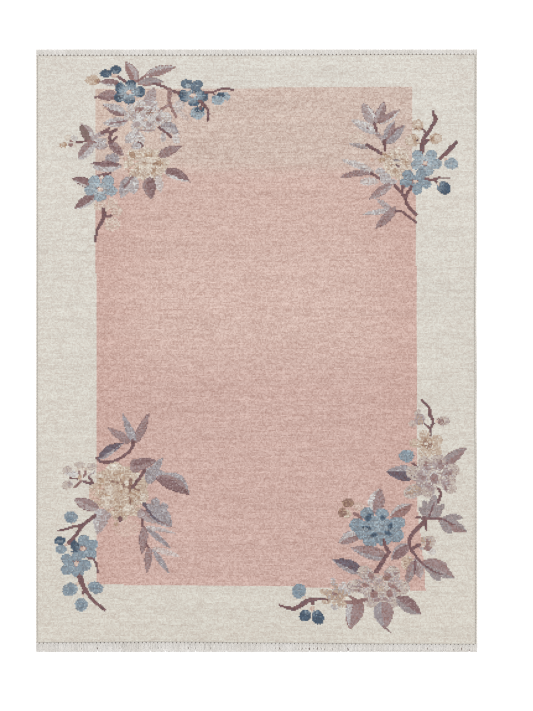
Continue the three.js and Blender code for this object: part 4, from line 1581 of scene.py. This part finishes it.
# Shares of the cord's size that a wrap, a mark and chance take up, and a mark's narrowness
WRAP_BULGE, MARK_NOTCH, CORD_UNEVEN, MARK_WIDTH = 0.16, 0.18, 0.06, 0.006
# Painted shade: how much darker it is between wraps and in a mark's notch, and the shades of the cord's two
# ends
WRAP_GAP_SHADE, NOTCH_SHADE, CORD_ENDS = 0.1, 0.30, [0.8, 0.8]


def filled(wave, power):
    """A wave with its ups and downs filled out."""
    return np.sign(wave) * np.abs(wave) ** power


def outer_line(node, outward):
    """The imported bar's outer side, as y and x."""
    outer = {}
    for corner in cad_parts[node].data.vertices:
        y = round(corner.co.y, 6)
        outer[y] = max(outer.get(y, -9), corner.co.x * outward)
    ys = np.array(sorted(outer))
    return ys, np.array([outer[y] for y in ys]) * outward


def make_selvedge(side, material):
    """A cord of overcast yarn: close slanting wraps, with a deeper notch at every fourth."""
    node = "selvedge_" + side
    outward = -1 if side == "left" else 1
    low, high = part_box(node)
    ys, xs = outer_line(node, outward)
    width = SELVEDGE_WIDTH[side]
    wraps = int((high.y - low.y) / WRAP_PITCH)
    rings = wraps * RINGS_PER_WRAP + 1
    along = np.linspace(0, wraps, rings)
    turn = np.arange(CORD_SIDES) * 2 * math.pi / CORD_SIDES
    across, upward = filled(np.cos(turn), SQUARE_ACROSS), filled(np.sin(turn), SQUARE_UP)
    slant = SLANT_ACROSS * across + SLANT_UP * upward
    phase = along[:, None] + slant[None, :] * outward
    bulge = np.abs(np.sin(math.pi * phase)) ** WRAP_FULL
    mark = np.exp(-((np.mod(phase / WRAPS_PER_MARK + 0.5, 1) - 0.5) ** 2) / MARK_WIDTH)
    chance = np.interp(along, np.arange(wraps + 1), rng.uniform(-1, 1, wraps + 1))[:, None]
    size = 1 - WRAP_BULGE + WRAP_BULGE * bulge - MARK_NOTCH * mark + CORD_UNEVEN * chance
    y = low.y + (high.y - low.y) * along / wraps
    middle = np.interp(y, ys, xs) - outward * width / 2
    corners = np.zeros((rings, CORD_SIDES, 3))
    corners[..., 0] = middle[:, None] + across * size * width / 2
    corners[..., 1] = y[:, None]
    corners[..., 2] = np.maximum(0, SELVEDGE_HEIGHT / 2 * (1 + upward * size))
    # Painted shade, darker between the wraps and in each mark's notch
    shade = (1 - WRAP_GAP_SHADE + WRAP_GAP_SHADE * bulge) * (1 - NOTCH_SHADE * mark)
    shade = np.append(((shade[:-1] + shade[1:]) / 2).ravel(), CORD_ENDS)
    parts = Parts()
    parts.add(corners.reshape(-1, 3), tube_faces(1, rings, CORD_SIDES), shade)
    return parts.piece(node + "_yarn", [material])


# The knotted warp ends

LOCKS_PER_END = 116
YARNS_PER_LOCK = 9
# Millimetres: how far the yarns lean, sway, slant and end unevenly, and the reach of the dark strip under the
# roots, painted shade between the locks.
# spread is a lock's width along it as a share of the pitch, from the knot to the tips, and second is
# how much a second knot pinches it.
FRINGES = {
    "top": {
        "lean": 1.5, "sway": 0.3, "slant": 0.0, "uneven": 1.0, "shade_reach": 6.5,
        "spread": [(0, 0.64), (0.08, 0.46), (0.2, 0.62), (0.34, 1.0), (1, 1.0)], "second": 0.0,
        "tone": 0.96,
    },
    "bottom": {
        "lean": 7.0, "sway": 1.2, "slant": 2.0, "uneven": 1.3, "shade_reach": 30.0,
        "spread": [(0, 0.72), (0.05, 0.64), (0.14, 0.72), (0.28, 1.06), (1, 1.0)], "second": 0.5,
        "tone": 1.0,
    },
}

# Along a yarn from its knot to its tip: height and radius in millimetres, how freely it lies over its
# neighbours, and its shade, darker near the knot as painted shade, with the shades of its two ends
YARN_SPANS, YARN_SIDES = 9, 5
YARN_LIFT = [(0, 5.0), (0.1, 5.2), (0.25, 4.0), (0.5, 2.6), (1, 1.4)]
YARN_RADIUS = [(0, 1.1), (0.2, 1.2), (0.7, 1.15), (1, 0.6)]
YARN_LAYER = [(0, 0.2), (0.2, 1), (1, 0.5)]
YARN_PAINTED_SHADE, YARN_ENDS = [(0, 0.9), (0.3, 0.99), (0.7, 1.0), (1, 1.0)], [0.9, 0.95]

# Millimetres: how far inside the pile a yarn starts, how far its tip stays inside the box, and how near
# to the box's sides it may come
YARN_START, YARN_STOP, YARN_MARGIN = 1.5, 1.2, 1.2

# Where along a lock its second knot is, how far that differs and how long it is
SECOND_AT, SECOND_STRAY, SECOND_LENGTH = 0.62, 0.1, 0.13

# Chance in a yarn: its wave's size in millimetres, pace and phase, its layer, radius and shade, and how
# seldom its tip falls short. SECOND_BIAS is how readily a lock has a second knot.
WAVE_SIZE, WAVE_PACE, WAVE_PHASE = 0.5, 5, 6
LAYER_STRAY, RADIUS_STRAY, TONE_STRAY = (-0.8, 1.3), (0.92, 1.12), (0.94, 1.04)
TIP_POWER, SECOND_BIAS = 1.5, 0.2

# The knot at each root, in millimetres: its start, length, level, radius and flatness
KNOT_RINGS, KNOT_SIDES = 7, 9
KNOT_START, KNOT_LENGTH, KNOT_LEVEL, KNOT_RADIUS, KNOT_FLATNESS = 0.6, 4.8, 4.0, 4.6, 0.7

# How far a knot strays sideways in millimetres, its waist, and how its size and shade differ
KNOT_STRAY, KNOT_WAIST, KNOT_UNEVEN, KNOT_TONES = 0.4, 0.14, 0.05, 0.03

# The dark strip's section, painted shade under the locks, in millimetres: its corners' side and height, how
# far it reaches under the pile, and how far it stays from the rug's sides
SHADE_STRIP_SECTION = [("inner", 0.2), ("outer", 0.2), ("outer", 0.9), ("inner", 1.6)]
SHADE_STRIP_INNER, SHADE_STRIP_MARGIN = 1.0, 0.8


def profile(s, points):
    return np.interp(s, *zip(*points))


class WarpEnd:
    """One end's fringe: where its locks stand and how far they reach."""

    def __init__(self, end):
        self.sizes = FRINGES[end]
        self.outward = 1 if end == "top" else -1
        self.low, self.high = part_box("fringe_" + end)
        self.edge = SLAB[-1] if end == "top" else SLAB[0]
        self.tips = cad_high[1] if end == "top" else cad_low[1]
        self.pitch = (self.high.x - self.low.x) / LOCKS_PER_END
        self.centres = self.low.x + (np.arange(LOCKS_PER_END) + 0.5) * self.pitch
        self.character = rng.uniform(-1, 1, (LOCKS_PER_END, 4))

    def root(self, x):
        return np.interp(x, self.edge[:, 0], self.edge[:, 1]) + self.outward * TOP_INSET

    def spread(self, lock, s):
        """Each yarn's share of its lock's width along it, pinched by a second knot."""
        spread = profile(s, self.sizes["spread"]) * np.ones((len(lock), 1))
        pinch_at = SECOND_AT + SECOND_STRAY * self.character[lock, 2:3]
        pinch = self.sizes["second"] * np.maximum(0, self.character[lock, 3:4] + SECOND_BIAS)
        return spread * (1 - pinch * np.exp(-(((s - pinch_at) / SECOND_LENGTH) ** 2)))

    def yarns(self):
        """Loose yarns from the knots to the tips, as corners, faces and shades."""
        sizes, outward = self.sizes, self.outward
        lock = np.repeat(np.arange(LOCKS_PER_END), YARNS_PER_LOCK)
        place_in_lock = np.tile(np.linspace(-0.5, 0.5, YARNS_PER_LOCK), LOCKS_PER_END)[:, None]
        n = len(lock)
        middle = self.centres[lock]
        s = np.linspace(0, 1, YARN_SPANS)
        spread = self.spread(lock, s)
        u = (middle - self.low.x) / (self.high.x - self.low.x) * 2 - 1
        drift = sizes["lean"] * outward * u**3 * (1 - u**12)
        sway = (sizes["sway"] + sizes["slant"] * self.character[lock, 1]) * np.where(lock % 2 == 0, 1, -1)
        wave = rng.uniform(-WAVE_SIZE, WAVE_SIZE, (n, 1))
        wave = wave * np.sin(s * WAVE_PACE + rng.uniform(0, WAVE_PHASE, (n, 1)))
        bend = ((drift + sway)[:, None] * s**2 + wave) * MM
        x = middle[:, None] + place_in_lock * self.pitch * spread + bend
        start = self.root(middle) - outward * YARN_START * MM
        short = rng.uniform(0, 1, n) ** TIP_POWER * sizes["uneven"]
        tip = self.tips - outward * (YARN_STOP + short) * MM
        y = start[:, None] + (tip - start)[:, None] * s
        layer = rng.uniform(*LAYER_STRAY, (n, 1)) * profile(s, YARN_LAYER)
        radius = profile(s, YARN_RADIUS) * rng.uniform(*RADIUS_STRAY, (n, 1))
        z = np.maximum(profile(s, YARN_LIFT) + layer, radius)
        margin = YARN_MARGIN * MM
        paths = np.stack([np.clip(x, cad_low[0] + margin, cad_high[0] - margin), y, z * MM], -1)
        # Darker near the knot: painted shade
        tone = np.append(np.repeat(profile(s[:-1], YARN_PAINTED_SHADE), YARN_SIDES), YARN_ENDS)
        tone = tone * rng.uniform(*TONE_STRAY, (n, 1)) * sizes["tone"]
        return tubes(paths, radius * MM, YARN_SIDES), tube_faces(n, len(s), YARN_SIDES), tone.ravel()

    def knots(self):
        """The knot at each lock's root, as corners, faces and shades."""
        t = np.linspace(0, 1, KNOT_RINGS)
        knots = np.zeros((LOCKS_PER_END, len(t), 3))
        knots[..., 0] = self.centres[:, None] + self.character[:, :1] * KNOT_STRAY * MM
        knots[..., 1] = self.root(self.centres)[:, None] + self.outward * (KNOT_START + KNOT_LENGTH * t) * MM
        knots[..., 2] = KNOT_LEVEL * MM
        swell = np.sin(np.pi * np.clip(t * 0.9 + 0.05, 0, 1)) ** 0.5
        swell = swell * (1 + KNOT_WAIST * np.cos(t * 4 * math.pi))
        radii = KNOT_RADIUS * MM * swell * (1 + KNOT_UNEVEN * self.character[:, 1:2])
        faces = tube_faces(LOCKS_PER_END, len(t), KNOT_SIDES)
        tone = np.repeat(1 + KNOT_TONES * self.character[:, 2], len(faces) // LOCKS_PER_END)
        return tubes(knots, radii, KNOT_SIDES, KNOT_FLATNESS), faces, tone

    def painted_shade_under_roots(self):
        """A dark flat strip under the roots, painted shade that shows between the locks, as corners and
        faces.
        """
        margin = SHADE_STRIP_MARGIN * MM
        x = np.linspace(self.low.x + margin, self.high.x - margin, 2 * LOCKS_PER_END + 1)
        sides = {
            "inner": self.root(x) - self.outward * SHADE_STRIP_INNER * MM,
            "outer": self.root(x) + self.outward * self.sizes["shade_reach"] * MM,
        }
        rows = [np.column_stack([x, sides[side], np.full(len(x), z * MM)]) for side, z in SHADE_STRIP_SECTION]
        faces = tube_faces(1, len(x), 4)
        return np.stack(rows, 1).reshape(-1, 3), faces if self.outward > 0 else [face[::-1] for face in faces]


def make_fringe(end, materials):
    """Bunches of warp yarn, each tied in a knot at the pile and fanning out over the floor."""
    warp_end = WarpEnd(end)
    parts = Parts()
    parts.add(*warp_end.yarns())
    parts.add(*warp_end.knots())
    # A dark strip under the roots: painted shade between the locks
    parts.add(*warp_end.painted_shade_under_roots(), 1.0, material=1)
    return parts.piece("fringe_" + end + "_yarn", materials)


# Floor, light and camera

FLOOR_HALF, FLOOR_LEVEL = 9.0, -0.5 * MM
FLOOR_LOOK = {
    "Base Color": (0.9, 0.9, 0.9, 1), "Roughness": 0.9, "Specular IOR Level": 0.1,
    "Emission Color": (1, 1, 1, 1), "Emission Strength": 0.3,
}

# The camera's height over the level at which a pixel is as wide as PIXEL, that level, its film and reach
CAMERA_HEIGHT, TRUE_LEVEL = 9.0, 9 * MM
FILM, CAMERA_REACH = 36, 100


def make_floor():
    g = Graph("pale_floor")
    for key, value in FLOOR_LOOK.items():
        g.put(g.shader, key, value)
    signs = ((-1, -1), (1, -1), (1, 1), (-1, 1))
    corners = [(x * FLOOR_HALF, y * FLOOR_HALF, FLOOR_LEVEL) for x, y in signs]
    add_mesh("floor", corners, [[0, 1, 2, 3]], [g.material], smooth=False)


def make_light():
    world = bpy.data.worlds.new("studio")
    world.use_nodes = True
    world.node_tree.nodes["Background"].inputs["Color"].default_value = (1, 1, 1, 1)
    world.node_tree.nodes["Background"].inputs["Strength"].default_value = SKY_STRENGTH
    bpy.context.scene.world = world
    sun = bpy.data.lights.new("window_light", "SUN")
    sun.energy = SUN_STRENGTH
    sun.angle = math.radians(SUN_ANGLE)
    lamp = bpy.data.objects.new("window_light", sun)
    lamp.rotation_euler = Vector(SUN_FROM).to_track_quat("Z", "Y").to_euler()
    bpy.context.scene.collection.objects.link(lamp)


def make_camera():
    camera = bpy.data.cameras.new("photo_view")
    camera.sensor_fit = "VERTICAL"
    camera.sensor_height = FILM
    camera.lens = FILM * CAMERA_HEIGHT / (PHOTO_HEIGHT * PIXEL)
    camera.clip_end = CAMERA_REACH
    eye = bpy.data.objects.new("photo_view", camera)
    eye.location = (*place(PHOTO_WIDTH / 2, PHOTO_HEIGHT / 2), CAMERA_HEIGHT + TRUE_LEVEL)
    bpy.context.scene.collection.objects.link(eye)
    bpy.context.scene.camera = eye


def dress():
    rim_yarn = yarn_material("rim_tufts", *RIM_YARN)
    cord_yarn = yarn_material("overcast_yarn", *CORD_YARN)
    warp_yarn = yarn_material("warp_yarn", *WARP_YARN)
    # Dark yarn for the strip under the fringe's roots: painted shade between the locks
    shade_strip_material = yarn_material("painted_shade_strip", *PAINTED_SHADE_YARN, sheen=0.0)
    pile = make_pile(knot_chart(), [pile_material(), back_material()])
    rim = make_rim([rim_yarn])
    sides = [make_selvedge(side, cord_yarn) for side in ("left", "right")]
    ends = [make_fringe(end, [warp_yarn, shade_strip_material]) for end in ("top", "bottom")]
    for piece in (pile, rim, *sides, *ends):
        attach(piece, "root")
    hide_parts("rug")
    for piece, side in zip(sides, ("left", "right")):
        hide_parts("selvedge_" + side)
    for piece, end in zip(ends, ("top", "bottom")):
        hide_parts("fringe_" + end)


bpy.context.scene.view_settings.view_transform = "Standard"
bpy.context.scene.cycles.use_denoising = False
bpy.context.scene.cycles.filter_width = 1.25
make_camera()
make_light()
make_floor()
dress()
